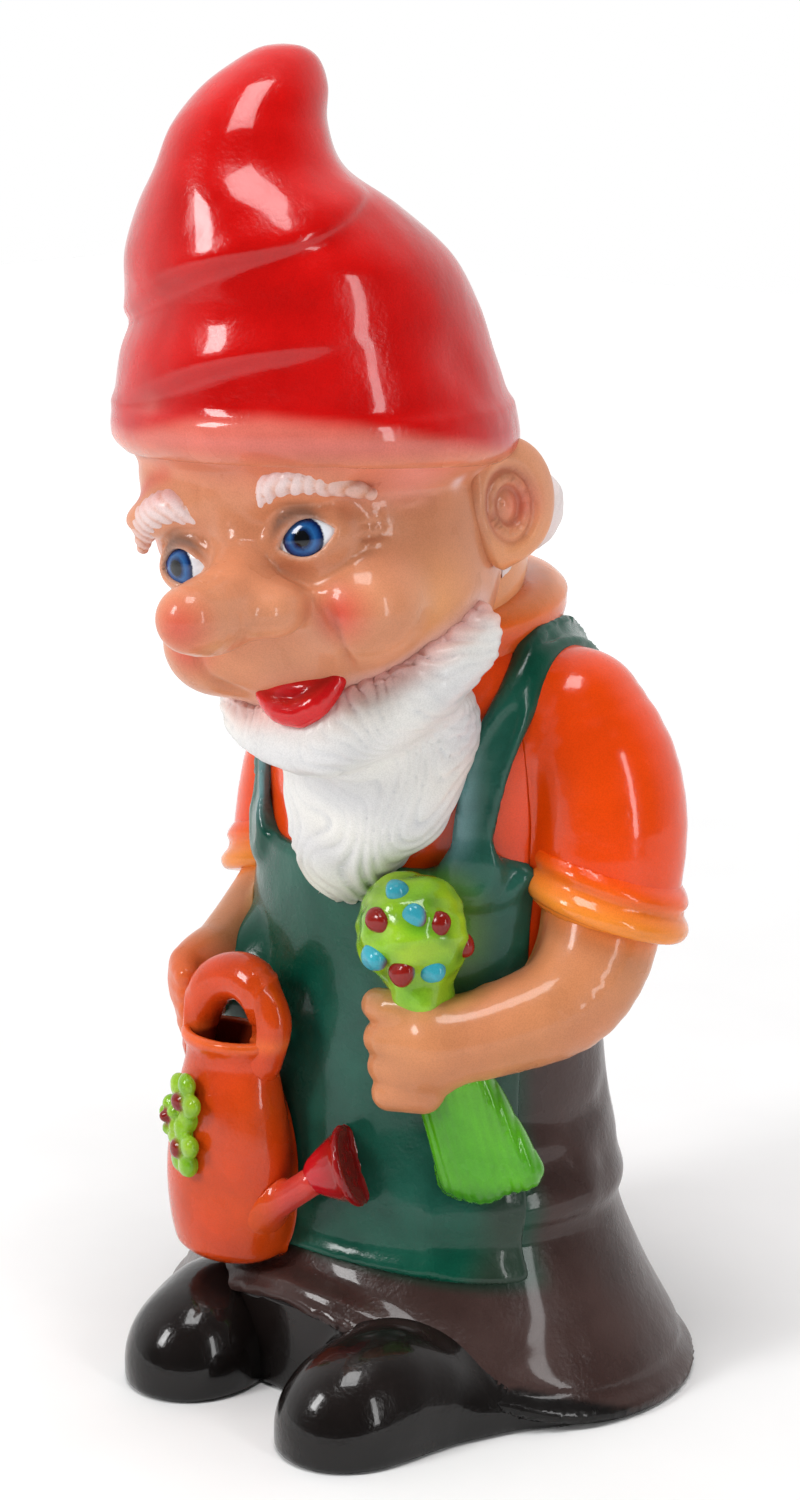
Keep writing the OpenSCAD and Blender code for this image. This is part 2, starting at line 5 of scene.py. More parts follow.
import bpy
import numpy as np
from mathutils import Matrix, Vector


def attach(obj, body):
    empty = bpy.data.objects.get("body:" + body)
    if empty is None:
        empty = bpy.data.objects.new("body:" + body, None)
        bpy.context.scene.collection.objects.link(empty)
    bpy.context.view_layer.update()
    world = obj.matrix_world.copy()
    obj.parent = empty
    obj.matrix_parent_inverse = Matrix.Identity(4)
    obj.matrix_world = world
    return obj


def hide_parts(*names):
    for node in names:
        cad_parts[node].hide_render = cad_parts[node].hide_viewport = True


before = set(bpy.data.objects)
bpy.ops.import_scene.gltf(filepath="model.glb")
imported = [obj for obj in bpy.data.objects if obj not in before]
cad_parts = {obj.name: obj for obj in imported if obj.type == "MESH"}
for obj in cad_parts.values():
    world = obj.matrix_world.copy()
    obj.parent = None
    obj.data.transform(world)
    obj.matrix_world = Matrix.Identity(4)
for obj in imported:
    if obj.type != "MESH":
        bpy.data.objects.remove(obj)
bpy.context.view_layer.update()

MM = 0.001

# ---- Distance fields
# A field takes points P, an array of three rows, and gives one distance for each, negative inside.


def smin(a, b, k):
    """The smaller of two distances, with a fillet about k wide."""
    h = np.maximum(k - abs(a - b), 0) / k
    return np.minimum(a, b) - h * h * k * 0.25


def smax(a, b, k):
    return -smin(-a, -b, k)


def limited(own, other, k, reach=None, inset=0.7):
    """own, with a fillet towards its neighbour that dives just under the neighbour's surface."""
    return np.maximum(smin(own, other + inset, k), own - (reach or k))


def merge(fields, k):
    """All the fields run together with fillets about k wide, or simply joined where k is 0."""
    d = fields[0]
    for e in fields[1:]:
        d = smin(d, e, k) if k else np.minimum(d, e)
    return d


def bell(t, width):
    return np.exp(-((t / width) ** 2))


def egg(P, c, r):
    """Near enough the distance from an ellipsoid with centre c and half-axes r."""
    k0 = np.sqrt(sum(((P[i] - c[i]) / r[i]) ** 2 for i in range(3)))
    k1 = np.sqrt(sum(((P[i] - c[i]) / r[i] ** 2) ** 2 for i in range(3)))
    return k0 * (k0 - 1) / np.maximum(k1, 1e-6)


def spline(stops, n=5):
    """Catmull-Rom curve through the stops, with n pieces to a stretch."""
    s = np.array(stops, float)
    s = np.vstack([s[0], s, s[-1]])
    out = []
    for i in range(1, len(s) - 2):
        a, b, c, d = s[i - 1 : i + 3]
        for t in np.arange(n) / n:
            bend = (2 * a - 5 * b + 4 * c - d) + t * (3 * (b - c) + d - a)
            out.append(b + 0.5 * t * ((c - a) + t * bend))
    return np.array(out + [s[-2]])


def tube(P, stops, n=5, k=0):
    """A chain of balls (x, y, z, r), joined along a smooth curve."""
    pts = spline(stops, n) if n > 1 else np.array(stops, float)
    links = []
    for a, b in zip(pts, pts[1:]):
        u = b[:3] - a[:3]
        size = float(u @ u) + 1e-9
        v = [P[i] - float(a[i]) for i in range(3)]
        t = np.clip(sum(v[i] * float(u[i]) for i in range(3)) / size, 0, 1)
        axis = np.sqrt(sum((v[i] - t * float(u[i])) ** 2 for i in range(3)))
        links.append(axis - (float(a[3]) + t * float(b[3] - a[3])))
    return merge(links, k)


def away(P, pts, n=5):
    """Distance to a plain curve through the points."""
    return tube(P, [(*p, 0) for p in pts], n)


def crease(P, pts, width, depth, n=4):
    """Height of a soft ridge along a curve, or of a groove where depth is negative."""
    return depth * bell(away(P, pts, n), width)


def waves(P, size, seed, terms=5):
    """Smooth pseudo-random lumps about size across, from -1 to 1."""
    rng = np.random.default_rng(seed)
    total = 0
    for _ in range(terms):
        d = rng.normal(size=3)
        d *= 2 * math.pi / size * rng.uniform(0.35, 0.8) / np.linalg.norm(d)
        total = total + np.sin(P[0] * d[0] + P[1] * d[1] + P[2] * d[2] + rng.uniform(0, 6.28))
    return total / terms


def locks(s):
    """Rounded locks with narrow valleys at whole values of s."""
    return abs(np.sin(math.pi * s)) ** 0.6 - 0.7


def turn(x, y, z):
    """Rotation matrix of turns in degrees about X, then Y, then Z."""
    a, b, c = (math.radians(v) for v in (x, y, z))
    rx = np.array([[1, 0, 0], [0, math.cos(a), -math.sin(a)], [0, math.sin(a), math.cos(a)]])
    ry = np.array([[math.cos(b), 0, math.sin(b)], [0, 1, 0], [-math.sin(b), 0, math.cos(b)]])
    rz = np.array([[math.cos(c), -math.sin(c), 0], [math.sin(c), math.cos(c), 0], [0, 0, 1]])
    return rz @ ry @ rx


def local(P, c, R):
    """The points as seen from a place c turned by R."""
    d = [P[i] - c[i] for i in range(3)]
    return np.stack([d[0] * R[0, i] + d[1] * R[1, i] + d[2] * R[2, i] for i in range(3)])


def mirror(P, side):
    """The points as they are for side 1, the left, and flipped across for side -1."""
    return np.stack([P[0] * side, P[1], P[2]])


def pair(L):
    """The same points with the right half folded over the left."""
    return np.stack([abs(L[0]), L[1], L[2]])


class Loft:
    """The solid through a stack of rings, the same rows as the CAD has:
    z, centre x, centre y, half-width, front depth, back depth, tilt x, tilt y, front lift."""

    POWER = 3.8  # how closely the front lift gathers at the front
    ANGLES, HEIGHTS = 24, 500  # cells of the table that undoes the lift
    MARGIN = 5  # how far the table runs past both ends

    def __init__(self, rows):
        tab = spline([list(r) + [0] * (9 - len(r)) for r in rows], 40)
        tab[:, 0] = np.maximum.accumulate(tab[:, 0] + 1e-4 * np.arange(len(tab)))
        self.tab = tab
        self.zs = np.linspace(tab[0, 0] - self.MARGIN, tab[-1, 0] + self.MARGIN, self.HEIGHTS)
        lifts = np.linspace(0, 1, self.ANGLES + 1)
        self.back = np.array([np.interp(self.zs, tab[:, 0] + c * tab[:, 8], tab[:, 0]) for c in lifts])
        self.slopes = np.gradient(tab[:, [1, 2, 3, 4, 5, 8]], tab[:, 0], axis=0)

    def col(self, z, k):
        return np.interp(z, self.tab[:, 0], self.tab[:, k])

    def rest(self, z, sin, cos):
        """The height of the row that a point at height z belongs to."""
        f = np.clip(cos, 0, 1) ** self.POWER * self.ANGLES
        i = np.minimum(f.astype(int), self.ANGLES - 1)
        f = f - i
        g = np.clip((z - self.zs[0]) / (self.zs[1] - self.zs[0]), 0, self.HEIGHTS - 1.001)
        j = g.astype(int)
        g = g - j
        B = self.back
        near = B[i, j] * (1 - g) + B[i, j + 1] * g
        far = B[i + 1, j] * (1 - g) + B[i + 1, j + 1] * g
        z0 = near * (1 - f) + far * f
        return z0 - self.col(z0, 6) * sin - self.col(z0, 7) * cos

    def parts(self, P):
        """Distance from the side wall, angle from the front in radians, row height, and how many
        millimetres of true height there are to one of row height."""
        z0 = P[2]
        for _ in range(3):
            x, y = P[0] - self.col(z0, 1), P[1] - self.col(z0, 2)
            rx = self.col(z0, 3)
            ry = np.where(y < 0, self.col(z0, 4), self.col(z0, 5))
            sin, cos = x / rx, -y / ry
            r = np.sqrt(sin * sin + cos * cos) + 1e-6
            sin, cos = sin / r, cos / r
            z0 = self.rest(P[2], sin, cos)
        k1 = np.sqrt((x / rx**2) ** 2 + (y / ry**2) ** 2) + 1e-6
        d = r * (r - 1) / k1
        s = [np.interp(z0, self.tab[:, 0], self.slopes[:, i]) for i in range(6)]
        rise = np.maximum(1 + s[5] * np.clip(cos, 0, 1) ** self.POWER, 0.1)
        slope = s[2] * sin**2 + np.where(y < 0, s[3], s[4]) * cos**2 + s[0] * sin - s[1] * cos
        return d / np.sqrt(1 + (slope / rise) ** 2), np.arctan2(sin, cos), z0, rise

    def __call__(self, P):
        return self.parts(P)[0]


# ---- Meshes
# The box that every piece is looked for in
FIGURE = (np.array([-172.0, -216.0, -9.0]), np.array([172.0, 160.0, 696.0]))
WIDE = 10.0  # cell of the first grid, in millimetres
COARSE = 4  # fine cells to a side of one coarse cell


def lattice(axes):
    return np.stack(np.meshgrid(*axes, indexing="ij")).reshape(3, -1).astype(np.float32)


def sample(field, step):
    """The field on a grid round the piece, worked out only near its surface."""
    P = lattice([np.arange(FIGURE[0][k], FIGURE[1][k] + WIDE, WIDE) for k in range(3)])
    P = P[:, field(P) < WIDE]
    lo, hi = P.min(1) - WIDE, P.max(1) + WIDE
    m = COARSE
    cells = np.ceil((hi - lo) / (m * step)).astype(int) + 1
    coarse = field(lattice([lo[k] + m * step * np.arange(cells[k] + 1) for k in range(3)]))
    coarse = coarse.reshape(cells + 1)
    at = [np.minimum((np.arange(m * cells[k] + 1) + m // 2) // m, cells[k]) for k in range(3)]
    grid = coarse[np.ix_(*at)].astype(np.float32)
    near = np.argwhere(abs(grid) < m * step * 1.15 + 0.5)
    P = (lo[:, None] + near.T * step).astype(np.float32)
    grid[tuple(near.T)] = field(P)
    return grid, lo


def nets(grid, lo, step):
    """Surface nets: one vertex to each cell that the surface crosses, quads between them."""
    inside = grid < 0
    n = np.array(grid.shape) - 1
    corner = [(i, j, k) for i in (0, 1) for j in (0, 1) for k in (0, 1)]

    def part(a, c):
        return a[c[0] : c[0] + n[0], c[1] : c[1] + n[1], c[2] : c[2] + n[2]]

    count = sum(part(inside, c).astype(np.int8) for c in corner)
    cells = np.argwhere((count > 0) & (count < 8))
    total = np.zeros((len(cells), 3))
    hits = np.zeros(len(cells))
    for a in corner:
        for axis in range(3):
            if a[axis]:
                continue
            b = list(a)
            b[axis] = 1
            va = grid[tuple((cells + a).T)]
            vb = grid[tuple((cells + b).T)]
            cross = (va < 0) != (vb < 0)
            t = np.where(cross, va / np.where(cross, va - vb, 1), 0)
            p = np.tile(np.array(a, float), (len(cells), 1))
            p[:, axis] = t
            total += p * cross[:, None]
            hits += cross
    verts = lo + (cells + total / hits[:, None]) * step
    index = np.full(n, -1, np.int32)
    index[tuple(cells.T)] = np.arange(len(cells))
    faces = []
    for axis in range(3):
        u, v = [(1, 2), (2, 0), (0, 1)][axis]
        sl = [slice(1, -1)] * 3
        sl[axis] = slice(0, -1)
        nxt = list(sl)
        nxt[axis] = slice(1, None)
        a, b = inside[tuple(sl)], inside[tuple(nxt)]
        e = np.argwhere(a != b)
        flip = a[tuple(e.T)]
        for k in range(3):
            if k != axis:
                e[:, k] += 1
        quad = []
        for du, dv in ((0, 0), (1, 0), (1, 1), (0, 1)):
            c = e.copy()
            c[:, u] -= du
            c[:, v] -= dv
            quad.append(index[tuple(c.T)])
        quad = np.stack(quad, 1)
        quad[~flip] = quad[~flip][:, ::-1]
        faces.append(quad)
    return verts.T, np.vstack(faces)


SLOPE_SPAN = 0.25  # half the stretch that a slope is measured over
LEAST_SLOPE = 0.15  # of the square of the slope, so that a flat spot throws no point far
STRIDE = 0.9  # the longest move in a round, in cells


def settle(field, P, step, rounds=3):
    """Moves the points onto the field's own surface."""
    e = SLOPE_SPAN
    for _ in range(rounds):
        d = field(P)
        g = np.stack([(field(P + q) - field(P - q)) / (2 * e) for q in e * np.eye(3)[:, :, None]])
        move = -d * g / np.maximum((g * g).sum(0), LEAST_SLOPE)
        length = np.sqrt((move * move).sum(0)) + 1e-9
        P = P + move * np.minimum(1, STRIDE * step / length)
    return P


def build(name, field, step, paint, slot, also=(), material=None):
    """Makes one piece in cells of step millimetres: its field's surface, painted, riding on the
    figure. It stands for the CAD node of the same name, and for those in also."""
    grid, lo = sample(lambda P: field(P, False), step)
    P, faces = nets(grid, lo, step)
    P = settle(lambda Q: field(Q, True), P, step)
    mesh = bpy.data.meshes.new(name)
    mesh.vertices.add(P.shape[1])
    mesh.vertices.foreach_set("co", (P.T * MM).astype(np.float32).ravel())
    mesh.loops.add(faces.size)
    mesh.loops.foreach_set("vertex_index", faces.astype(np.int32).ravel())
    mesh.polygons.add(len(faces))
    mesh.polygons.foreach_set("loop_start", np.arange(0, faces.size, 4, dtype=np.int32))
    mesh.update(calc_edges=True)
    mesh.validate()
    mesh.polygons.foreach_set("use_smooth", np.ones(len(mesh.polygons), bool))
    colour = np.ones((P.shape[1], 4), np.float32)
    colour[:, :3] = np.clip(spray(P, paint(P), name), 0.0005, 1).astype(np.float32)
    mesh.attributes.new("paint", "FLOAT_COLOR", "POINT").data.foreach_set("color", colour.ravel())
    mesh.materials.append(material or COATS[slot])
    obj = place(name, mesh)
    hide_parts(name, *also)
    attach(obj, "figure")


def place(name, data):
    """A new object of the scene."""
    obj = bpy.data.objects.new(name, data)
    bpy.context.scene.collection.objects.link(obj)
    return obj


# ---- Paint
def rgb(r, g, b):
    """Linear colour of a paint given in sRGB, 0 to 255."""
    c = np.array([r, g, b]) / 255.0
    return np.where(c < 0.04045, c / 12.92, ((c + 0.055) / 1.055) ** 2.4)


SKIN = rgb(204, 130, 92)
SKIN_PALE = rgb(208, 142, 106)
PINK = rgb(214, 104, 88)
BLUSH = rgb(200, 48, 46)
RED = rgb(196, 8, 6)
ORANGE = rgb(234, 74, 4)
PEACH = rgb(236, 138, 50)
GREEN = rgb(6, 74, 56)
GREEN_PALE = rgb(78, 126, 120)
GREEN_SHADE = rgb(14, 50, 40)
BROWN = rgb(58, 40, 36)
BROWN_PALE = rgb(92, 72, 70)
BLACK = rgb(16, 13, 12)
WHITE = rgb(232, 229, 222)
CAN = rgb(206, 72, 8)
LEAF = rgb(112, 172, 30)
LEAF_YELLOW = rgb(158, 196, 40)
WINE = rgb(132, 20, 12)
BLUE = rgb(54, 156, 174)


def fade(d, soft):
    """1 where d is well below 0, 0 well above, softly between."""
    t = np.clip(0.5 - d / (2 * soft), 0, 1)
    return t * t * (3 - 2 * t)


def dot(P, c, r, soft):
    """A soft round spot of radius r."""
    return fade(np.sqrt(sum((P[i] - c[i]) ** 2 for i in range(3))) - r, soft)


def cloud(P, size, seed):
    """Smooth random patches, from 0 to 1."""
    return 0.5 + 0.5 * waves(P, size, seed)


def over(base, colour, mask):
    """base, one colour or one for each point, with colour laid over it as thickly as the mask says."""
    return base + (colour - base) * mask[:, None]


# ---- The figure's forms
body_loft = Loft([
    [0, 0, 25, 158, 118, 116, 0, 0, 50],
    [18, 0, 25, 150.1, 112, 110, 0, 0, 42.5],
    [50, 0, 26, 129.6, 100, 96, 0, 0, 15],
    [84, 0, 27, 112.2, 92, 85],
    [104, 0, 28, 113.8, 91, 85],
    [141, 0, 30, 102, 87, 81],
    [180, 0, 30, 98, 82, 78],
    [214, 0, 30, 97, 78, 78],
    [260, 0, 30, 95, 74, 82],
    [300, 0, 30, 95, 72, 85],
    [340, 0, 30, 94, 67, 82],
    [368, 0, 30, 87, 58, 72],
    [386, 0, 30, 70, 48, 58],
    [395, 0, 30, 50, 38, 44],
])
hat_loft = Loft([
    [478, -1, -51, 93, 93, 92, 3, 5],
    [490, -1, -54, 95, 96, 94, 3, 5],
    [498, -1, -55, 95, 96, 94, 3, 5],
    [516, -1, -59, 93, 93, 93, 3, 4],
    [534, -1, -62, 89, 90, 89, 2, 3],
    [556, 0, -65, 83, 83, 82, 1, 1],
    [580, -2, -73, 77, 77, 75],
    [602, -5, -83, 61, 63, 60],
    [620, -8, -92, 43, 48, 43],
    [640, -10, -91, 35, 39, 36],
    [657, -8, -83, 28, 32, 30],
    [669, -5, -77, 18, 20, 20],
    [675, -4, -75, 9, 10, 10],
    [677, -4, -75, 3, 3, 3],
])
can_loft = Loft([
    [60, -42, -80, 17, 14, 12],
    [66, -42, -80, 27, 21, 19],
    [80, -42, -79, 35, 28, 24],
    [112, -42, -79, 37, 29, 25],
    [146, -42, -79, 32, 25, 22],
    [170, -42, -78, 27, 20, 18],
    [182, -42, -78, 28, 21, 18],
])

# The photo's right, and the way to its camera, on the ground
IMAGE_RIGHT, IMAGE_NEAR = (0.766, 0.643), (0.643, -0.766)

HEAD_C = (2, -48, 436)
HEAD_R = turn(0, -16, 12)


def in_head(P):
    return local(P, HEAD_C, HEAD_R)


# ---- Head
EYE_C = (33.5, -73.5, 9)
EYE_R = turn(0, 0, 14)


def in_eye(M):
    return local(M, EYE_C, EYE_R)


def eye_slit(E):
    """Negative in the almond between the lids, seen from the front."""
    x = E[0] + 0.5
    top = 9.2 * (1 - (x / 14.5) ** 2) + 0.10 * x
    low = -7.8 * (1 - (x / 14.5) ** 2) + 0.06 * x
    return np.maximum(E[2] - top, low - E[2]) * 0.85


def skull(L):
    d = egg(L, (0, 5, 16), (84, 87, 88))
    d = smin(d, egg(L, (0, -18, 42), (75, 68, 40)), 16)
    d = smin(d, egg(L, (0, -4, -26), (74, 72, 56)), 18)
    return smin(d, egg(L, (0, -15, -50), (48, 43, 36)), 18)


NOSE = [
    (0, -78, 22, 8), (0, -84, 6, 13), (0, -94, -8, 18.5),
    (0, -109, -12, 19.5), (0, -125, -13, 18.5), (0, -138, -12, 16),
]
# Ridges and grooves of the face: curve, width, height
FACE_LINES = [
    ([(38, -84, -26), (39, -78, -38), (36, -72, -48), (29, -64, -60)], 3.4, -2.6),
    ([(33, -88, -8), (28, -93, -4), (18, -98, 4)], 4.5, -1.4),
    ([(14, -86, 4), (22, -84, -6), (34, -80, -11), (48, -73, -7)], 2.2, -1.2),
    ([(16, -87, -2), (26, -84, -13), (38, -80, -17)], 2.2, 0.9),
    ([(50, -66, 6), (61, -56, 5)], 1.8, 1.1),
    ([(50, -66, 0), (61, -56, -1)], 1.8, 1.1),
    ([(50, -66, 13), (61, -56, 11)], 1.8, 1.1),
    ([(49, -66, 4), (62, -55, 2)], 1.6, -1.0),
    ([(15, -84, 12), (24, -84, 21), (36, -80, 21), (49, -70, 12)], 2.3, 1.5),
    ([(17, -86, 20), (30, -84, 27), (46, -76, 22)], 2.2, -1.2),
    ([(12, -86, 36), (9, -85, 48)], 2.6, -1.0),
]


def face(L, fine=True):
    M = pair(L)
    E = in_eye(M)
    d = skull(L)
    d = smin(d, egg(M, (40, -55, -30), (29, 28, 27)), 12)
    d = smin(d, egg(M, (34, -76, 36), (28, 12, 11)), 12)
    d = smin(d, egg(M, (22, -50, 58), (36, 32, 22)), 14)
    d = smin(d, egg(E, (0, 2, 0), (21, 14.5, 15)), 7)
    d = smin(d, tube(L, NOSE, 3), 10)
    d = smin(d, egg(M, (18, -95, -19), (13.5, 19, 13)), 8)
    if fine:
        for line, width, height in FACE_LINES:
            d = d - crease(M, line, width, height)
        d = d - 0.5 * waves(L, 46, 3) - 0.7 * waves(L, 8, 9) * dot(M, (74, -44, 16), 14, 14)
    hole = np.maximum(eye_slit(E), E[1] - 4)
    return smax(d, -hole, 2.4)


def in_ear(L, side):
    return mirror(local(L, (side * 90, 21, 0), turn(0, side * 10, side * -30)), side)


def whorl(E):
    """Distance from the middle of the ear's hollow, on rings that follow its shape."""
    return np.sqrt(((E[1] + 5) / 0.78) ** 2 + E[2] ** 2)


def f_ear(side, P, fine):
    L = in_head(P)
    E = in_ear(L, side)
    d = egg(E, (0, 0, 2), (9, 25, 30))
    d = smin(d, egg(E, (-1, -7, -14), (7.5, 13, 13)), 8)
    dish = egg(E, (12, -5, 1), (9.5, 17, 22))
    d = smax(d, -dish, 4)
    if fine:
        ring = whorl(E)
        d = d - 3.4 * bell(ring - 13, 2.4) - 4.0 * bell(ring, 4.6)
        d = d + 1.8 * bell(ring - 18, 2.6) + 1.2 * bell(ring - 8.5, 2)
        d = d - crease(E, [(8, -12, -20), (8, 4, -23), (8, 16, -12)], 2.0, -0.8)
    return limited(d, face(L, False), 15, 16) if fine else d


def f_head(P, fine=False):
    d = face(in_head(P), fine)
    # The forehead swells out to meet the hat's edge
    below = np.maximum(491 - P[2], 0)
    d = smin(d, hat_side(P, False)[0] + 1 + below**2 / 20, 8)
    return smax(d, P[2] - 505, 2)


EYEBALL_C, EYEBALL_R = (0, 2.5, 0), (19, 12.2, 13.5)


def f_eye(side, P, fine):
    return egg(in_eye(mirror(in_head(P), side)), EYEBALL_C, EYEBALL_R)


BROW = [(20, -83, 32, 6), (29, -85.5, 38.5, 8.4), (42, -82.5, 37, 8.4), (54, -75, 31, 7), (65, -65, 22, 4)]


def brow_locks(M):
    return locks((M[0] * 0.62 - M[2] * 0.42 + 2.8 * waves(M, 14, 5)) / 4.2)


def f_brow(side, P, fine):
    L = in_head(P)
    M = mirror(L, side)
    d = tube(M, BROW, 4)
    d = np.maximum(d, -(M[0] - 4))
    if fine:
        d = limited(d, face(L, False), 5, 6)
        d = d + 1.2 - 1.0 * brow_locks(M)
    return d


def in_lips(P):
    L = in_head(P)
    return np.stack([L[0] + 1, L[1] + 57, L[2] + 58])


def f_lips(P, fine):
    E = in_lips(P)
    M = pair(E)
    upper = tube(M, [(27, 3, 10, 1.8), (18, -2, 5, 3.2), (8, -4, 2, 3.8), (0, -4, 1, 3.8)], 3)
    lower = tube(M, [(26, 3, 8, 1.8), (20, -3, -2, 5.0), (10, -8, -10, 7.0), (0, -9, -13, 7.4)], 3)
    inner = egg(E, (0, -2, -4), (22, 9.5, 10))
    return smin(smin(upper, lower, 2), inner, 2)


# ---- Beard and hair
RIM = [(73, -4, -53, 8), (69, -12, -62, 12), (54, -30, -72, 15.5), (30, -47, -82, 17.5), (0, -52, -88, 18)]


def beard_mass(P):
    L = in_head(P)
    d = tube(pair(L), RIM, 2) + 4 * fade(L[0] + 24, 16)
    d = smin(d, egg(P, (27, -40, 352), (54, 37, 36)), 22)
    d = smin(d, egg(P, (23, -46, 320), (50, 29, 39)), 22)
    return smin(d, egg(P, (9, -49, 289), (29, 20, 33)), 18)


def beard_locks(P):
    """Wavy locks that fan out from under the mouth, with curls across the sideburns."""
    x, z = P[0] - 20, P[2] - 404
    angle = np.arctan2(x, -z + 20)
    rho = np.sqrt(x * x + z * z)
    s = angle * 13 + 1.2 * np.sin(rho / 9 + angle * 6) + 1.7 * waves(P, 26, 11)
    low = fade(P[2] - 300, 24)
    wide = fade(24 - abs(angle) * 57, 14)
    relief = (0.9 + 1.9 * np.maximum(low, wide)) * locks(s)
    side = fade(50 - pair(in_head(P))[0], 16) * fade(336 - P[2], 14)
    t = P[2] / 8.5 - abs(P[0] - 10) / 24 + 0.8 * np.sin(P[0] / 12) + 1.7 * waves(P, 24, 8)
    depth = np.clip(0.75 + 0.6 * waves(P, 20, 14), 0.2, 1.3)
    return (relief * (1 - 0.8 * side) + 2.0 * side * locks(t)) * depth


def f_beard(P, fine):
    d = beard_mass(P)
    head = face(in_head(P), False)
    if fine:
        d = d - beard_locks(P)
        d = limited(d, head, 12, 13)
        d = limited(d, apron_skin(P), 5, 6)
    return smax(d, -(head + 4), 3)


def f_hair(P, fine):
    L = in_head(P)
    M = pair(L)
    d = tube(M, [(88, 50, -2, 14), (70, 72, -10, 17), (40, 90, -13, 20), (0, 97, -14, 21)], 3)
    # The back of the head, down to the nape
    back = smax(skull(L) - 5, 36 - L[1], 10)
    d = smin(d, smax(back, -38 - L[2], 8), 8)
    if fine:
        s = np.arctan2(L[0], L[1] + 6) * 15 + 0.5 * np.sin(L[2] / 5) + 0.8 * waves(L, 30, 4)
        d = d - 1.1 * locks(s)
        d = limited(d, face(L, False), 5, 6, 0.8)
    return smax(d, P[2] - 503, 3)


# ---- Hat
# The wrap folds: (angle from the front in degrees, height) along each, and its depth
FOLDS = [
    (((-125, 560), (-50, 549), (8, 576), (47, 588), (70, 597), (92, 606), (122, 612)), 4.0),
    (((-130, 516), (-50, 504), (14, 533), (37, 540), (62, 546)), 3.0),
]


def hat_relief(P, a):
    deg = np.degrees(a)
    total = 0.8 * waves(P, 60, 21)
    for line, depth in FOLDS:
        pts = spline([(p[0], p[1]) for p in line], 6)
        z = np.interp(deg, pts[:, 0], pts[:, 1])
        ends = fade(line[0][0] + 18 - deg, 18) * fade(deg - line[-1][0] + 16, 20)
        t = P[2] - z
        step = 0.5 * (1 + np.tanh(t / 3.6))
        fold = step * np.exp(-np.maximum(t, 0) / 26) - 0.7 * (1 - step) * np.exp(np.minimum(t, 0) / 12)
        total = total + depth * ends * fold
    # The streaky side above the ear
    total = total + 1.4 * bell(deg - 92, 9) * np.sin(P[2] / 9 + 2) * fade(P[2] - 560, 30)
    return total


def hat_side(P, fine):
    d, a, z0, _ = hat_loft.parts(P)
    if fine:
        d = d - hat_relief(P, a) * fade(506 - P[2], 8)
    # The soft roll at the hat's edge
    return d - 2.2 * bell(z0 - 496, 11) * fade(abs(np.degrees(a) - 10) - 92, 22), a


def f_hat(P, fine):
    d, a = hat_side(P, fine)
    d = smax(d, P[2] - 676.5, 3)
    d = smax(d, 485 + 3 * np.sin(a) + 7 * np.cos(a) - P[2], 9)
    return limited(d, f_head(P), 14, 15) if fine else d


# ---- Trunk
SHIRT_FROM, TROUSERS_TO = 212, 219  # heights at the waist


def groove(P):
    return tube(P, [(4, -104, 24, 11), (3, -100, 60, 6), (2, -96, 92, 2)], 1)


# Folds of the trousers, the same on both sides: curve, width, height
TROUSER_FOLDS = [
    ([(60, -62, 128), (84, -34, 118), (104, 8, 122)], 8, -2.4),
    ([(70, -60, 104), (96, -26, 100), (112, 20, 104)], 9, 2.4),
    ([(90, -20, 150), (100, 20, 140), (98, 60, 146)], 7, -2.0),
    ([(40, 106, 130), (80, 86, 112), (106, 40, 116)], 9, -1.8),
]


def cloth_relief(P, z0):
    """Soft folds of the trousers, and the roll of their hem."""
    d = 2.2 * bell(z0 - 4, 5) - 1.3 * bell(z0 - 13, 4)
    d = d + 1.3 * waves(P, 70, 31) * fade(24 - z0, 14)
    for side, k in ((1, 1.0), (-1, 0.9)):
        for line, width, height in TROUSER_FOLDS:
            d = d + crease(mirror(P, side), line, width, height * k)
    return d + crease(P, [(0, 118, 190), (0, 120, 130), (0, 130, 60)], 7, -2.6)


def f_trousers(P, fine):
    d, _, z0, rise = body_loft.parts(P)
    if fine:
        d = d - cloth_relief(P, z0) * np.clip(1.5 * rise - 0.2, 0.15, 1)
    d = d - 2.2 * bell(P[2] - 213, 4.5)
    # The hem is drawn in a little beside the right boot
    flare = -(IMAGE_RIGHT[0] * P[0] + IMAGE_RIGHT[1] * P[1]) - 105 - 60 * fade(96 - P[2], 14)
    d = np.minimum(smax(d, flare, 12), d + 5)
    inner = d + 7
    d = smax(d, -groove(P), 9)
    d = smax(d, np.maximum(-P[2], (0.6 - z0) * rise), 4)
    d = smax(d, P[2] - TROUSERS_TO, 3)
    return smax(d, -inner, 1)


def pill(P, x, y, r, shoulder, top):
    """An upright post of radius r at x, y, straight up to its shoulder and domed above."""
    q = np.sqrt((P[0] - x) ** 2 + (P[1] - y) ** 2)
    h = np.maximum(P[2] - shoulder, 0)
    s = top - shoulder
    k0 = np.sqrt((q / r) ** 2 + (h / s) ** 2)
    k1 = np.sqrt((q / r**2) ** 2 + (h / s**2) ** 2) + 1e-6
    return k0 * (k0 - 1) / k1


BOOTS = {
    1: [
        (62, -112, 34.5, 9, 47), (65, -98, 35, 10, 52), (69, -82, 35, 12, 54),
        (76, -64, 33, 10, 44), (88, -46, 30, 8, 30),
    ],
    -1: [
        (-49, -105, 34, 9, 46), (-51, -92, 35, 10, 52), (-54, -76, 35, 12, 54),
        (-62, -58, 33, 10, 44), (-72, -42, 30, 8, 30),
    ],
}


def base_outline(P):
    """Distance from the edge of the sole that the boots stand round, seen from above."""
    x, y = P[0] / 145.5, (P[1] - 25) / np.where(P[1] < 25, 107.0, 105.0)
    return (np.sqrt(x * x + y * y) - 1) * 105


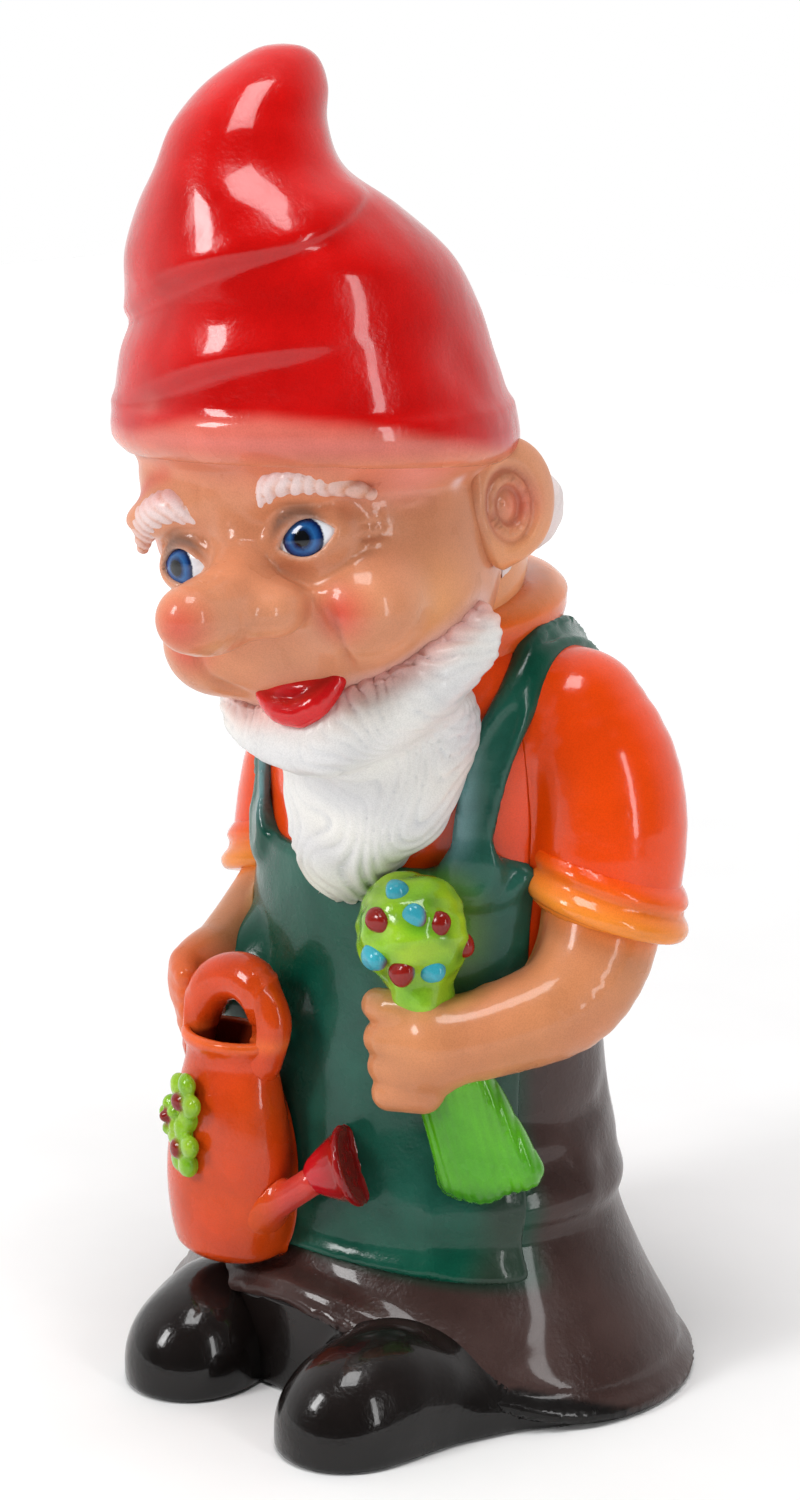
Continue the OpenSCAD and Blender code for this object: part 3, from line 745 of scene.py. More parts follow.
def f_boot(side, P, fine):
    d = merge([pill(P, *row) for row in BOOTS[side]], 10)
    skin, _, z0, rise = body_loft.parts(P)
    if fine:
        d = d - 0.5 * waves(P, 40, 13)
    if side == 1:
        band = smax(smax(skin + 3, -(skin + 10), 1), P[2] - 58, 2)
        d = smin(d, band, 9)
    d = smax(d, P[1] - 24, 4)
    d = smax(d, -P[2], 4)
    d = smax(d, -np.maximum(base_outline(P), P[2] - 10.6), 0.8)
    return smax(d, -smax(skin + 3.2, (1.5 - z0) * rise, 1), 1)


def f_shirt(P, fine):
    d = body_loft(P)
    if fine:
        folds = 1.1 * waves(P, 54, 41) + 1.4 * bell(P[2] - 226, 7)
        for side in (1, -1):
            M = mirror(P, side)
            folds = folds + crease(M, [(30, 118, 360), (26, 120, 300), (34, 112, 230)], 8, -1.6)
            folds = folds + crease(M, [(66, 96, 330), (76, 88, 280), (70, 90, 230)], 8, 1.8)
        covered = fade(abs(P[0]) - 82, 6) * fade(P[1] + 6, 6) * fade(P[2] - 300, 10)
        d = d - folds * (1 - covered) + 1.5 * covered
    d = smax(d, SHIRT_FROM - P[2], 2)
    return smax(d, P[2] - 394, 4)


def f_collar(P, fine):
    C = local(P, (0, 26, 393), turn(8, 0, 0))
    rad = np.sqrt(C[0] ** 2 + C[1] ** 2)
    d = np.sqrt((rad - 60) ** 2 + ((C[2] - 1) * 0.9) ** 2) - 12.5
    if fine:
        d = d - 0.9 * waves(P, 30, 17) - 1.12 * bell(C[2] - 6, 3)
        d = limited(d, body_loft(P), 8, 9, 0.8)
    return d


def f_neck(P, fine):
    d = tube(P, [(0, 26, 384, 47), (4, 10, 412, 56), (8, 6, 424, 58)], 1)
    return smax(d, 384 - P[2], 2)


# ---- Arms
ARM = {
    1: dict(
        sleeve=[(86, 40, 346, 36), (101, 40, 322, 39), (109, 38, 294, 39.5), (111, 33, 262, 38)],
        cuff=[(111, 36, 276, 39), (113, 29, 250, 42)],
        edge=(106, 30, 252),
        arm=[
            (111, 34, 266, 30), (116, 20, 234, 28.5), (112, -2, 212, 26),
            (92, -34, 201, 22.5), (76, -52, 197, 22),
        ],
    ),
    -1: dict(
        sleeve=[(-78, 42, 346, 30), (-87, 43, 320, 33), (-93, 38, 288, 35), (-95, 31, 252, 34)],
        cuff=[(-95, 34, 260, 36), (-95, 27, 236, 37)],
        edge=(-106, 30, 232),
        arm=[(-91, 26, 256, 23), (-91, 12, 236, 19.5), (-87, -18, 219, 17), (-82, -44, 208, 16)],
    ),
}


def under_cuff(P, side):
    """Height below the slanting lower edge of a cuff, negative above it."""
    E = local(P, ARM[side]["edge"], turn(-14, side * 12, 0))
    return -E[2]


def f_sleeve(side, P, fine):
    d = tube(P, ARM[side]["sleeve"], 3)
    if fine:
        d = d - 0.7 * waves(P, 48, 51 + side)
        d = limited(d, body_loft(P), 10)
    return smax(d, under_cuff(P, side) + 12, 3)


def f_cuff(side, P, fine):
    d = tube(P, ARM[side]["cuff"], 2)
    low = under_cuff(P, side)
    if fine:
        d = d - 1.5 * bell(low + 6, 4) + 2.0 * bell(low + 14, 3.2) - 1.3 * bell(low + 19, 3)
        d = d - 0.5 * waves(P, 30, 61 + side)
    d = smax(d, low, 4)
    d = smax(d, -low - 24, 3)
    return limited(d, tube(P, ARM[side]["sleeve"], 2), 5, inset=0.6) if fine else d


def left_hand(P):
    d = smin(tube(P, ARM[1]["arm"], 4), egg(P, (64, -58, 190), (22, 17, 27)), 12)
    fingers = [
        tube(P, [
            (70, -60 - out, z + 1, 10), (54, -66 - out, z, 9.4),
            (x + 5, -63, z - 1, 8.4), (x + 8, -56, z - 2, 7.5),
        ], 2)
        for z, out, x in ((213, 0, 38.5), (197, 2, 40), (183, 1, 44.5), (169.5, 0, 51))
    ]
    return smin(d, merge(fingers, 3.0), 5)


def right_hand(P):
    fingers = [
        tube(P, [
            (-83 + k, -52, 211 - 9 * k, 8.2), (-83 + k, -68, 209 - 9 * k, 7.6),
            (-75 + k, -76, 205 - 9 * k, 6.6),
        ], 2)
        for k in range(4)
    ]
    d = smin(tube(P, ARM[-1]["arm"], 4), merge(fingers, 2.5), 8)
    return smin(d, egg(P, (-83, -56, 198), (15, 20, 21)), 8)


def f_arm(side, P, fine):
    d = left_hand(P) if side == 1 else right_hand(P)
    if fine:
        d = d - 0.4 * waves(P, 36, 71 + side)
        d = limited(d, apron_skin(P), 8)
    return smax(d, -(under_cuff(P, side) + 12), 3)


# ---- Apron
# Row height, and degrees from the front to the apron's side edge there
APRON_EDGE = [(66, 62), (90, 62.5), (141, 63), (180, 65), (214, 67), (246, 68), (270, 70), (292, 70)]
# Curve, width, height
APRON_FOLDS = [
    ([(-4, -70, 236), (2, -72, 200), (0, -74, 160), (6, -76, 120)], 5, 3.2),
    ([(10, -70, 226), (14, -72, 190), (16, -74, 150)], 5, -2.4),
    ([(20, -70, 214), (24, -72, 176), (26, -76, 130), (34, -78, 90)], 6, 2.8),
    ([(40, -66, 180), (44, -70, 140), (46, -72, 96)], 7, -2.0),
    ([(62, -58, 170), (68, -56, 130), (72, -56, 84)], 8, 2.4),
    ([(-10, -72, 200), (-12, -74, 150), (-8, -76, 100)], 5, -2.6),
    ([(50, -32, 272), (66, -24, 263), (80, -14, 262), (92, -2, 274)], 4, 3.2),
    ([(-66, -56, 190), (-70, -58, 140), (-74, -60, 90)], 7, 2.0),
]


def apron_parts(P, fine):
    """Distance from the body with the apron's folds on it, distance past the apron's side edge, and
    row height."""
    d, a, z0, _ = body_loft.parts(P)
    side = (abs(np.degrees(a)) - np.interp(z0, *zip(*APRON_EDGE))) * 1.5
    if fine:
        relief = 0.9 * waves(P, 44, 81)
        for line, width, height in APRON_FOLDS:
            relief = relief + crease(P, line, width, height, 3)
        relief = relief + 0.6 * bell(z0 - 73, 4) - 0.4 * bell(z0 - 82, 4)
        d = d - np.maximum(relief, -2.2)
    return d, side, z0


def apron_skin(P):
    """The apron's outer surface, and the body's beyond its edges."""
    d = body_loft(P)
    return d - 4.6 * fade(abs(P[0]) - 84, 5) * fade(-(P[2] - 70), 4) * fade(P[2] - 272, 5)


STRAP = [
    (76, -32, 276, 15), (76, -30, 290, 13.5), (76, -26, 308, 12.5), (77, -16, 336, 11.5),
    (78, 2, 360, 11), (73, 30, 384, 11.5), (66, 72, 378, 12), (60, 102, 350, 12.5),
    (54, 114, 300, 12), (50, 114, 250, 12), (46, 110, 214, 12),
]


def straps(P, fine):
    t = tube(pair(P), STRAP, 3)
    b = body_loft(P)
    if fine:
        b = b - 1.6 * bell(t + 2.5, 2.6) + 0.8 * bell(t + 10, 5)
    return smax(smax(t, b - 5, 3), -(b + 4), 2)


def f_apron(P, fine):
    d, side, z0 = apron_parts(P, fine)
    top = P[2] - 276 - 8 * bell(abs(P[0]) - 72, 16)
    s = smax(d - 4.6 + 2.2 * fade(-side - 8, 7), -(d + 5), 1)
    s = smax(s, side, 5)
    s = smax(s, 67 - z0, 3.5)
    s = smin(smax(s, top, 7), straps(P, fine), 12)
    # Cloth bunched up behind the can's handle
    return smin(s, egg(P, (-66, -24, 192), (29, 30, 36)), 12)


# ---- Watering can
CAN_RIM, CAN_FLOOR = 184, 116  # height of the mouth, and of the hollow's floor


def f_can(P, fine):
    d = can_loft(P)
    inner = d + 4
    if fine:
        d = d - 1.6 * bell(P[2] - 180, 3.4) - 0.9 * bell(P[2] - 70, 4) - 0.4 * waves(P, 30, 91)
        d = limited(d, apron_skin(P), 8)
    d = smax(d, 61 - P[2], 9)
    d = smax(d, P[2] - CAN_RIM, 2)
    return smax(d, -smax(inner, CAN_FLOOR - P[2], 4), 2.4)


HANDLE = [
    (-66, -80, 172, 6.5), (-63, -79, 190, 7), (-53, -77, 207, 8), (-36, -76, 213, 8.4),
    (-21, -76, 206, 8.6), (-13, -77, 191, 8.6), (-17, -79, 172, 7.5),
]


def f_handle(P, fine):
    d = tube(P, HANDLE, 4)
    return limited(d - 0.5 * waves(P, 16, 93), can_loft(P), 6, inset=0.8) if fine else d


SPOUT = [(-32, -84, 84, 12), (-16, -85, 94, 9.5), (0, -84, 105, 7.8), (14, -81, 116, 7.5)]


def f_spout(P, fine):
    d = tube(P, SPOUT, 4)
    return limited(d, smin(apron_skin(P), can_loft(P), 4), 8) if fine else d


ROSE_DEEP, ROSE_HOLES = 24, 8


def in_rose(P):
    """The rose's own axes: its neck is at 0 and its face looks along Z."""
    return local(P, (12, -80, 118), turn(0, 70, 28))


def f_rose(P, fine):
    E = in_rose(P)
    q = np.sqrt(E[0] ** 2 + E[1] ** 2)
    r = 7 + 13.5 * np.clip(E[2] / ROSE_DEEP, 0, 1) ** 0.8
    d = (q - r) * 0.85
    d = smax(d, E[2] - ROSE_DEEP + (1.2 * bell(q, 14) if fine else 0), 2.5)
    d = smax(d, -E[2] - 1, 2)
    if fine:
        d = d - 1.2 * bell(E[2] - 22, 2.2)
        for k in range(ROSE_HOLES):
            t = k * 2 * math.pi / ROSE_HOLES
            dimple = np.sqrt((E[0] - 10 * math.cos(t)) ** 2 + (E[1] - 10 * math.sin(t)) ** 2)
            d = d + 1.1 * bell(dimple, 2.2) * fade(20 - E[2], 2)
        d = limited(d, apron_skin(P), 6)
    return d


FLOWERS = [(-50, -105, 151), (-49, -108, 127), (-62, -102, 139)]


def f_flower(P, fine):
    heads = []
    for n, c in enumerate(FLOWERS):
        E = local(P, c, turn(0, 0, -26))
        size = 1.15 if n < 2 else 0.8
        e = egg(E, (0, -3, 0), (4.5 * size, 4, 4.5 * size))
        for k in range(5):
            t = math.radians(72 * k + 20 * n)
            x, z = 8.5 * size * math.cos(t), 8.5 * size * math.sin(t)
            e = smin(e, egg(E, (x, 0, z), (5.6 * size, 4.4, 5.6 * size)), 1.6)
        heads.append(e)
    d = merge(heads, 0)
    return limited(d - 0.7 * waves(P, 7, 95), can_loft(P), 3) if fine else d


# ---- Bouquet
BOUQUET = (58, -54, 252)
# Each dab of blossom: how far it is to the right of the bouquet's middle and above it, as the photo
# shows it, and its colour
DABS = [
    (-17, 11, WINE), (1, 15, BLUE), (12, 11, WINE), (-19, -8, BLUE),
    (-5, -13, WINE), (10, -12, BLUE), (24, -4, WINE), (-8, 23, BLUE),
]


def blossom(du, dz, radius=26.5):
    """The place of a dab on the ball of the bouquet."""
    w = math.sqrt(max(radius**2 - du * du - dz * dz, 0))
    x, y = (BOUQUET[i] + IMAGE_RIGHT[i] * du + IMAGE_NEAR[i] * w for i in range(2))
    return x, y, BOUQUET[2] + dz - 0.1 * w


def f_bouquet(P, fine):
    d = egg(P, BOUQUET, (30, 26, 28))
    d = smin(d, tube(P, [(*BOUQUET, 16), (66, -56, 222, 16)], 1), 8)
    if fine:
        d = d - 2.0 * waves(P, 15, 97) - 1.5 * waves(P, 8, 98)
        d = limited(d, apron_skin(P), 6, inset=0.8)
    return d


def f_blossoms(P, fine):
    d = merge([egg(P, blossom(du, dz), (6.8, 5.4, 6.4)) for du, dz, _ in DABS], 0)
    return d - 1.3 * waves(P, 7, 99) if fine else d


WRAP_TOP = 176  # where the wrap comes out of the fist


def f_wrap(P, fine):
    d = tube(P, [(66, -52, WRAP_TOP, 8), (77, -42, 124, 9.5)], 1)
    for x, y, x2, y2, z2 in ((80, -48, 92, -38, 122), (88, -40, 108, -27, 130)):
        d = smin(d, tube(P, [(x, y, WRAP_TOP, 9), (x2, y2, z2, 10)], 1), 14)
    if fine:
        across = P[0] * 0.8 + P[1] * 0.55 + (P[2] - WRAP_TOP) * 0.26
        d = d - 1.0 * locks((across + 1.4 * waves(P, 26, 103)) / 5.2) - 0.5 * waves(P, 14, 101)
        d = limited(d, apron_skin(P), 6, inset=0.8)
    return d


# ---- Airbrush
# How thickly the posy's green has landed on each piece round it
GREEN_SPRAY = {"beard": 0.75, "apron": 0.75, "bouquet_wrap": 0.75, "forearm_left": 0.55}


def spray(P, c, name):
    """Overspray that runs across the borders between zones, and a darker olive over the right forearm's inner
    upper side.
    """
    if name in GREEN_SPRAY:
        c = over(c, rgb(120, 160, 30), dot(P, (62, -52, 246), 30, 16) * GREEN_SPRAY[name])
    if name == "forearm_right":
        c = over(c, rgb(214, 92, 40), dot(P, (-78, -72, 196), 26, 14) * 0.85)
        # Darker olive over the right forearm's inner upper side, towards the body
        c = over(c, rgb(70, 80, 50), fade(-P[0] - 74, 8) * fade(220 - P[2], 10) * 0.6)
    if name == "apron":
        c = over(c, rgb(196, 70, 26), dot(P, (-14, -84, 98), 10, 10) * 0.6)
    return c


def p_head(P):
    L = in_head(P)
    M = pair(L)
    E = in_eye(M)
    c = SKIN
    c = over(c, SKIN_PALE, cloud(P, 60, 201))
    c = over(c, rgb(222, 150, 84), dot(M, (66, -34, -40), 14, 26) * 0.7)
    c = over(c, PINK, fade(482 - P[2], 16) * 0.55)
    c = over(c, rgb(214, 100, 84), dot(M, (62, -58, 40), 10, 24) * 0.65)
    c = over(c, rgb(226, 138, 132), dot(M, (76, -42, 36), 16, 18) * 0.85)
    c = over(c, RED, crease(M, [(30, -88, 54), (44, -82, 52), (56, -74, 44)], 4.5, 0.6))
    c = over(c, BLUSH, dot(M, (43, -80, -28), 8, 13) * 0.95)
    c = over(c, BLUSH, dot(L, (2, -150, -13), 9, 12) * 0.8)
    c = over(c, PINK, dot(L, (0, -70, -84), 24, 18) * 0.5)
    # Streaks of white hair at the temple
    for streak in (
        [(74, -40, 46), (80, -30, 30)], [(78, -28, 48), (85, -16, 16)], [(81, -14, 48), (88, -4, 22)],
    ):
        c = over(c, rgb(234, 202, 200), crease(M, streak, 3.6, 0.75))
    # Smoky shading over each lid
    x = E[0] + 3
    above = E[2] - 9.2 * (1 - (x / 15) ** 2)
    front = fade(E[1] + 2, 3)
    c = over(c, rgb(66, 54, 50), bell(above - 4, 4.5) * fade(abs(x) - 13, 6) * front * 0.75)
    # Painted shade: a darker line down the groove from the nose wing towards the mouth
    cheek_crease_shade = [(37, -88, -14), (40, -82, -32), (37, -74, -46), (29, -64, -60)]
    c = over(c, rgb(176, 104, 74), crease(M, cheek_crease_shade, 3, 0.4))
    c = over(c, rgb(236, 214, 200), fade(eye_slit(E) - 0.8, 1.2) * front * 0.3)
    return over(c, rgb(234, 196, 188), fade(beard_mass(P) - 5, 9) * 0.9)


def p_ear(P):
    M = pair(in_head(P))
    ring = whorl(in_ear(M, 1))
    c = over(SKIN_PALE, PINK, dot(M, (98, 18, -2), 8, 10) * 0.8)
    # Painted shade: darker lines in the two grooves of the ear's whorl
    c = over(c, rgb(168, 78, 62), np.clip(bell(ring - 9, 1.8) + bell(ring - 17.5, 1.8), 0, 1) * 0.55)
    return over(c, rgb(226, 150, 92), fade(M[2] + 16, 14) * 0.5)


def p_brow(P):
    M = pair(in_head(P))
    c = over(rgb(226, 206, 204), SKIN_PALE, fade(brow_locks(M) + 0.15, 0.35) * 0.75)
    c = over(c, PINK, fade(41 - M[2], 6) * 0.4)
    return over(c, SKIN, fade(52 - M[0], 14) * 0.6)


def p_lips(P):
    E = in_lips(P)
    # Painted shade: darker red along the seam between the lips
    return over(rgb(206, 20, 24), rgb(128, 6, 10), bell(E[2] + 4 - 0.012 * E[0] ** 2, 2.4) * 0.45)


def p_beard(P):
    L = in_head(P)
    M = pair(L)
    c = over(WHITE, rgb(214, 214, 216), cloud(P, 24, 205))
    # Painted shade: grey in the valleys between the locks of the beard
    c = over(c, rgb(168, 172, 182), fade(beard_locks(P) + 0.5, 0.6) * 0.4)
    c = over(c, rgb(232, 160, 150), fade(face(L, False) - 7, 9) * 0.75)
    c = over(c, rgb(228, 134, 96), dot(M, (84, 8, -46), 12, 12) * 0.95)
    return over(c, rgb(170, 176, 130), fade(P[2] - 276, 16) * 0.35)


def p_hair(P):
    M = pair(in_head(P))
    return over(rgb(226, 212, 210), rgb(216, 120, 124), fade(36 - M[2], 12) * 0.6)


# Height of the lower edge of the red paint at each angle round the hat
RED_EDGE = [
    (-180, 486), (-110, 492), (-60, 497), (-19, 499), (5, 509),
    (28, 512), (53, 508), (78, 499), (110, 488), (180, 486),
]


def p_hat(P):
    _, a, z0, _ = hat_loft.parts(P)
    edge = np.interp(np.degrees(a), *zip(*RED_EDGE))
    c = over(RED, rgb(150, 4, 4), cloud(P, 50, 207) * 0.4)
    flesh = over(rgb(206, 106, 92), SKIN, fade(z0 - 486, 9))
    c = over(flesh, c, fade(edge - P[2], 5))
    wash = crease(P, [(-70, -96, 512), (-56, -122, 506), (-20, -146, 512)], 7, 0.4)
    return over(c, rgb(214, 120, 108), wash)


def p_trousers(P):
    c = over(BROWN, BROWN_PALE, cloud(P, 56, 209) * 0.35)
    _, a, z0, _ = body_loft.parts(P)
    deg = np.degrees(a)
    # The left boot's black runs up on the hem beside it
    c = over(c, BLACK, fade(P[2] - np.clip((88 - deg) * 0.62, 0, 22), 1.6) * fade(34 - deg, 4))
    return over(c, GREEN, fade(abs(deg) - 66, 5) * fade(64 - z0, 6) * fade(z0 - 206, 8) * 0.8)


def p_boot(P):
    # Painted shade: pure black low down towards the sole, a little lighter and browner higher up
    return over(BLACK, rgb(44, 34, 32), fade(30 - P[2], 20) * 0.3)


def p_shirt(P):
    c = over(ORANGE, rgb(226, 64, 2), cloud(P, 50, 211))
    return over(c, BROWN, fade(P[2] - TROUSERS_TO, 4) * 0.8)


def p_collar(P):
    c = over(rgb(226, 86, 30), PEACH, fade(396 - P[2], 8) * 0.5)
    return over(c, rgb(222, 140, 86), fade(402 - P[2], 6) * 0.6)


def p_cuff(side, P):
    return over(ORANGE, PEACH, fade(-under_cuff(P, side) - 15, 12))


def p_arm(side, P):
    c = over(rgb(200, 132, 86), SKIN, cloud(P, 40, 213))
    c = over(c, rgb(232, 128, 48), fade(under_cuff(P, side) - 6, 9) * 0.8)
    c = over(c, rgb(214, 106, 34), dot(P, (-72, -84, 200), 16, 18) * 0.7)
    return over(c, rgb(150, 120, 44), fade(apron_skin(P) - 3, 5) * 0.5)


def p_apron(P):
    c = over(GREEN, GREEN_PALE, np.clip(0.25 + 0.6 * waves(P, 60, 215), 0, 1) * 0.4)
    # Painted shade: a broad darker band down the apron just beside the can
    hollow = [(4, -74, 236), (-2, -78, 190), (-6, -80, 140), (10, -80, 110)]
    c = over(c, GREEN_SHADE, crease(P, hollow, 12, 0.75))
    # Painted highlight: paler green along the ridge of a fold
    c = over(c, GREEN_PALE, crease(P, [(14, -80, 240), (22, -80, 200), (24, -82, 150)], 10, 0.5))
    # Painted highlight: pale teal along the inner edges of the straps above the bib
    strap = fade(P[2] - 336, 26) * fade(286 - P[2], 12) * fade(abs(P[0]) - 71, 5)
    c = over(c, rgb(112, 154, 158), strap * 0.8)
    # Overspray round the posy
    c = over(c, LEAF, dot(P, BOUQUET, 26, 16) * 0.55)
    return over(c, BROWN, fade(-(P[0] - 88), 8) * fade(P[2] - 180, 10) * 0.5)


def p_can(P):
    c = over(CAN, rgb(204, 60, 18), cloud(P, 30, 217))
    lip = P[2] - (CAN_RIM - 1)
    # Painted shade: dark inside the can's mouth, below the rim
    inside = fade(can_loft(P) + 2.2, 1.2) * fade(lip, 1.5)
    c = over(c, rgb(92, 30, 18), inside * 0.8)
    # Painted highlight: lighter orange round the lip of the rim
    return over(c, rgb(236, 110, 44), bell(lip, 4) * (1 - inside) * 0.6)


def p_spout(P):
    return over(CAN, rgb(206, 62, 52), fade(-P[0] - 2, 10))


def p_rose(P):
    E = in_rose(P)
    c = over(rgb(196, 16, 30), WINE, fade(12 - E[2], 8) * 0.7)
    return over(c, rgb(70, 4, 8), fade(22.5 - E[2], 1.5) * 0.5)


def p_flower(P):
    c = over(LEAF, LEAF_YELLOW, cloud(P, 10, 219))
    for x, y, z in FLOWERS:
        c = over(c, WINE, dot(P, (x - 2, y - 5, z), 5.5, 1.5))
    return c


def p_bouquet(P):
    c = over(LEAF, LEAF_YELLOW, np.clip(0.5 + 0.9 * waves(P, 13, 221), 0, 1))
    return over(c, rgb(70, 130, 24), np.clip(waves(P, 9, 222) * 1.2, 0, 1) * 0.8)


def p_blossoms(P):
    c = LEAF
    for du, dz, colour in DABS:
        c = over(c, colour, dot(P, blossom(du, dz), 10, 2.5))
    return c


def p_wrap(P):
    c = over(rgb(96, 184, 28), rgb(64, 142, 20), cloud(P, 18, 223))
    return over(c, rgb(40, 110, 30), fade(P[2] - 122, 6) * 0.6)


def p_eye(P):
    return rgb(236, 240, 244)


# ---- Materials
SPECULAR = 0.16
COAT_SCALE = 0.6  # every coat is thinned by this
COAT_ROUGH = 0.07  # the lacquer's


class Graph:
    """A short way to wire the nodes of a new material, or of the owner."""

    def __init__(self, name, owner=None):
        self.owner = owner or bpy.data.materials.new(name)
        self.owner.use_nodes = True
        self.tree = self.owner.node_tree
        self.bsdf = self.tree.nodes.get("Principled BSDF")

    def node(self, kind, **settings):
        n = self.tree.nodes.new("ShaderNode" + kind)
        for key, value in settings.items():
            if key in n.inputs:
                n.inputs[key].default_value = value
            else:
                setattr(n, key, value)
        return n

    def link(self, a, b):
        self.tree.links.new(a, b)

    def noise(self, scale, detail=3.0, rough=0.5):
        t = self.node("TexCoord")
        n = self.node("TexNoise", Scale=scale, Detail=detail, Roughness=rough)
        self.link(t.outputs["Object"], n.inputs["Vector"])
        return n.outputs["Fac"]

    def span(self, value, lo, hi, low=0.3, high=0.7):
        """value, stretched from low..high to lo..hi."""
        n = self.node("MapRange")
        for key, v in (("From Min", low), ("From Max", high), ("To Min", lo), ("To Max", hi)):
            n.inputs[key].default_value = v
        self.link(value, n.inputs["Value"])
        return n.outputs["Result"]

    def tint(self, colour, factor):
        """colour times a factor that varies over the surface."""
        n = self.node("VectorMath", operation="SCALE")
        self.link(colour, n.inputs[0])
        self.link(factor, n.inputs["Scale"])
        return n.outputs[0]

    def bump(self, layers):
        """layers are (height, strength, depth in metres), the broadest first."""
        last = None
        for height, strength, depth in layers:
            n = self.node("Bump", Strength=strength, Distance=depth)
            self.link(height, n.inputs["Height"])
            if last:
                self.link(last, n.inputs["Normal"])
            last = n.outputs["Normal"]
        self.link(last, self.bsdf.inputs["Normal"])

    def finish(self, colour, rough, coat, coat_rough):
        self.link(colour, self.bsdf.inputs["Base Color"])
        self.link(rough, self.bsdf.inputs["Roughness"])
        self.bsdf.inputs["Specular IOR Level"].default_value = SPECULAR
        self.bsdf.inputs["Coat Weight"].default_value = coat * COAT_SCALE
        self.bsdf.inputs["Coat Roughness"].default_value = coat_rough
        return self.owner


def lacquer(name, rough, coat, peel, ripple, mottle):
    """Glossy lacquer over airbrushed paint: mottled colour, orange peel, and slow ripples of the mould."""
    g = Graph(name)
    paint = g.node("Attribute", attribute_name="paint").outputs["Color"]
    broad, fine, speck = g.noise(38, 4), g.noise(420, 2), g.noise(1400, 1)
    c = g.tint(paint, g.span(broad, 1 - mottle, 1 + mottle))
    c = g.tint(c, g.span(speck, 0.93, 1.03, 0.35, 0.6))
    g.bump([(g.noise(26, 2), ripple, 0.004), (fine, peel, 0.0006)])
    return g.finish(c, g.span(broad, *rough), coat, COAT_ROUGH)


# The painted eye from the middle of its pupil, at 0, to the white, at 1
IRIS_RINGS = [
    (0.0, (6, 8, 12)), (0.22, (6, 8, 12)), (0.27, (14, 40, 84)), (0.39, (36, 96, 156)), (0.50, (18, 66, 128)),
    (0.585, (6, 24, 66)), (0.63, (8, 26, 70)), (0.67, (226, 232, 240)), (1.0, (234, 237, 242)),
]
IRIS_REACH, IRIS_WAVER = 0.016, 0.0012  # metres from 0 to 1, and how far the rings wander


def eye_material(name, pupil):
    """White of the eye with a painted iris: rings worked out from the distance to the pupil."""
    g = Graph(name)
    distance = g.node("VectorMath", operation="DISTANCE")
    g.link(g.node("TexCoord").outputs["Object"], distance.inputs[0])
    distance.inputs[1].default_value = tuple(pupil * MM)
    size = g.node("Math", operation="MULTIPLY_ADD")
    g.link(g.noise(900, 2), size.inputs[0])
    size.inputs[1].default_value = IRIS_WAVER
    g.link(distance.outputs["Value"], size.inputs[2])
    ramp = g.node("ValToRGB")
    g.link(g.span(size.outputs[0], 0, 1, IRIS_WAVER / 2, IRIS_WAVER / 2 + IRIS_REACH), ramp.inputs["Fac"])
    while len(ramp.color_ramp.elements) < len(IRIS_RINGS):
        ramp.color_ramp.elements.new(0.5)
    for e, (at, c) in zip(ramp.color_ramp.elements, IRIS_RINGS):
        e.position = at
        e.color = (*rgb(*c), 1)
    c = g.tint(ramp.outputs["Color"], g.span(g.noise(260, 3), 0.9, 1.06))
    g.bump([(g.noise(500, 2), 0.12, 0.0004)])
    return g.finish(c, g.span(g.noise(60, 2), 0.08, 0.16), 1.0, 0.03)


def plain(name, colour, rough, scale, coat=0.0):
    """Moulded plastic: faint mottling and a fine grain."""
    g = Graph(name)
    base = g.node("ValToRGB")
    g.link(g.noise(scale / 6, 4), base.inputs["Fac"])
    for e, at, share in zip(base.color_ramp.elements, (0.3, 0.7), (0.8, 1.25)):
        e.position = at
        e.color = (*(np.array(colour) * share), 1)
    g.bump([(g.noise(40, 2), 0.3, 0.001), (g.noise(scale * 4, 2), 0.35, 0.0004)])
    rough = g.span(g.noise(scale / 3, 3), rough - 0.08, rough + 0.1)
    return g.finish(base.outputs["Color"], rough, coat, 0.2)


def eye_world(side, x, z):
    """A place on the front of an eyeball, x outwards and z up, in world millimetres."""
    r = EYEBALL_R
    y = EYEBALL_C[1] - r[1] * math.sqrt(1 - (x / r[0]) ** 2 - (z / r[2]) ** 2)
    m = EYE_R @ np.array([x, y, z]) + np.array(EYE_C)
    m[0] *= side
    return HEAD_R @ m + np.array(HEAD_C)


PUPIL = {1: eye_world(1, -2.0, 0.8), -1: eye_world(-1, 2.5, 0.6)}


# ---- Pieces
# The lacquer of each slot: name, roughness, coat, orange peel, ripple, mottling
COATS = {slot: lacquer(*look) for slot, look in {
    "skin": ("skin_paint", (0.24, 0.42), 0.6, 0.3, 0.5, 0.07),
    "hat_red": ("hat_paint", (0.16, 0.3), 0.8, 0.3, 0.7, 0.1),
    "shirt_orange": ("shirt_paint", (0.18, 0.3), 0.8, 0.25, 0.5, 0.06),
    "apron_green": ("apron_paint", (0.16, 0.34), 0.5, 0.4, 0.8, 0.2),
    "trouser_brown": ("trouser_paint", (0.22, 0.42), 0.6, 0.5, 0.7, 0.16),
    "boot_black": ("boot_paint", (0.14, 0.3), 0.8, 0.4, 0.6, 0.2),
    "hair_white": ("beard_paint", (0.28, 0.45), 0.4, 0.4, 0.3, 0.05),
    "lip_red": ("lip_paint", (0.14, 0.24), 0.9, 0.3, 0.3, 0.1),
    "can_orange": ("can_paint", (0.18, 0.34), 0.8, 0.4, 0.6, 0.14),
    "leaf_green": ("leaf_paint", (0.16, 0.3), 0.9, 0.5, 0.5, 0.16),
}.items()}
COATS["blossom_paint"] = COATS["leaf_green"]

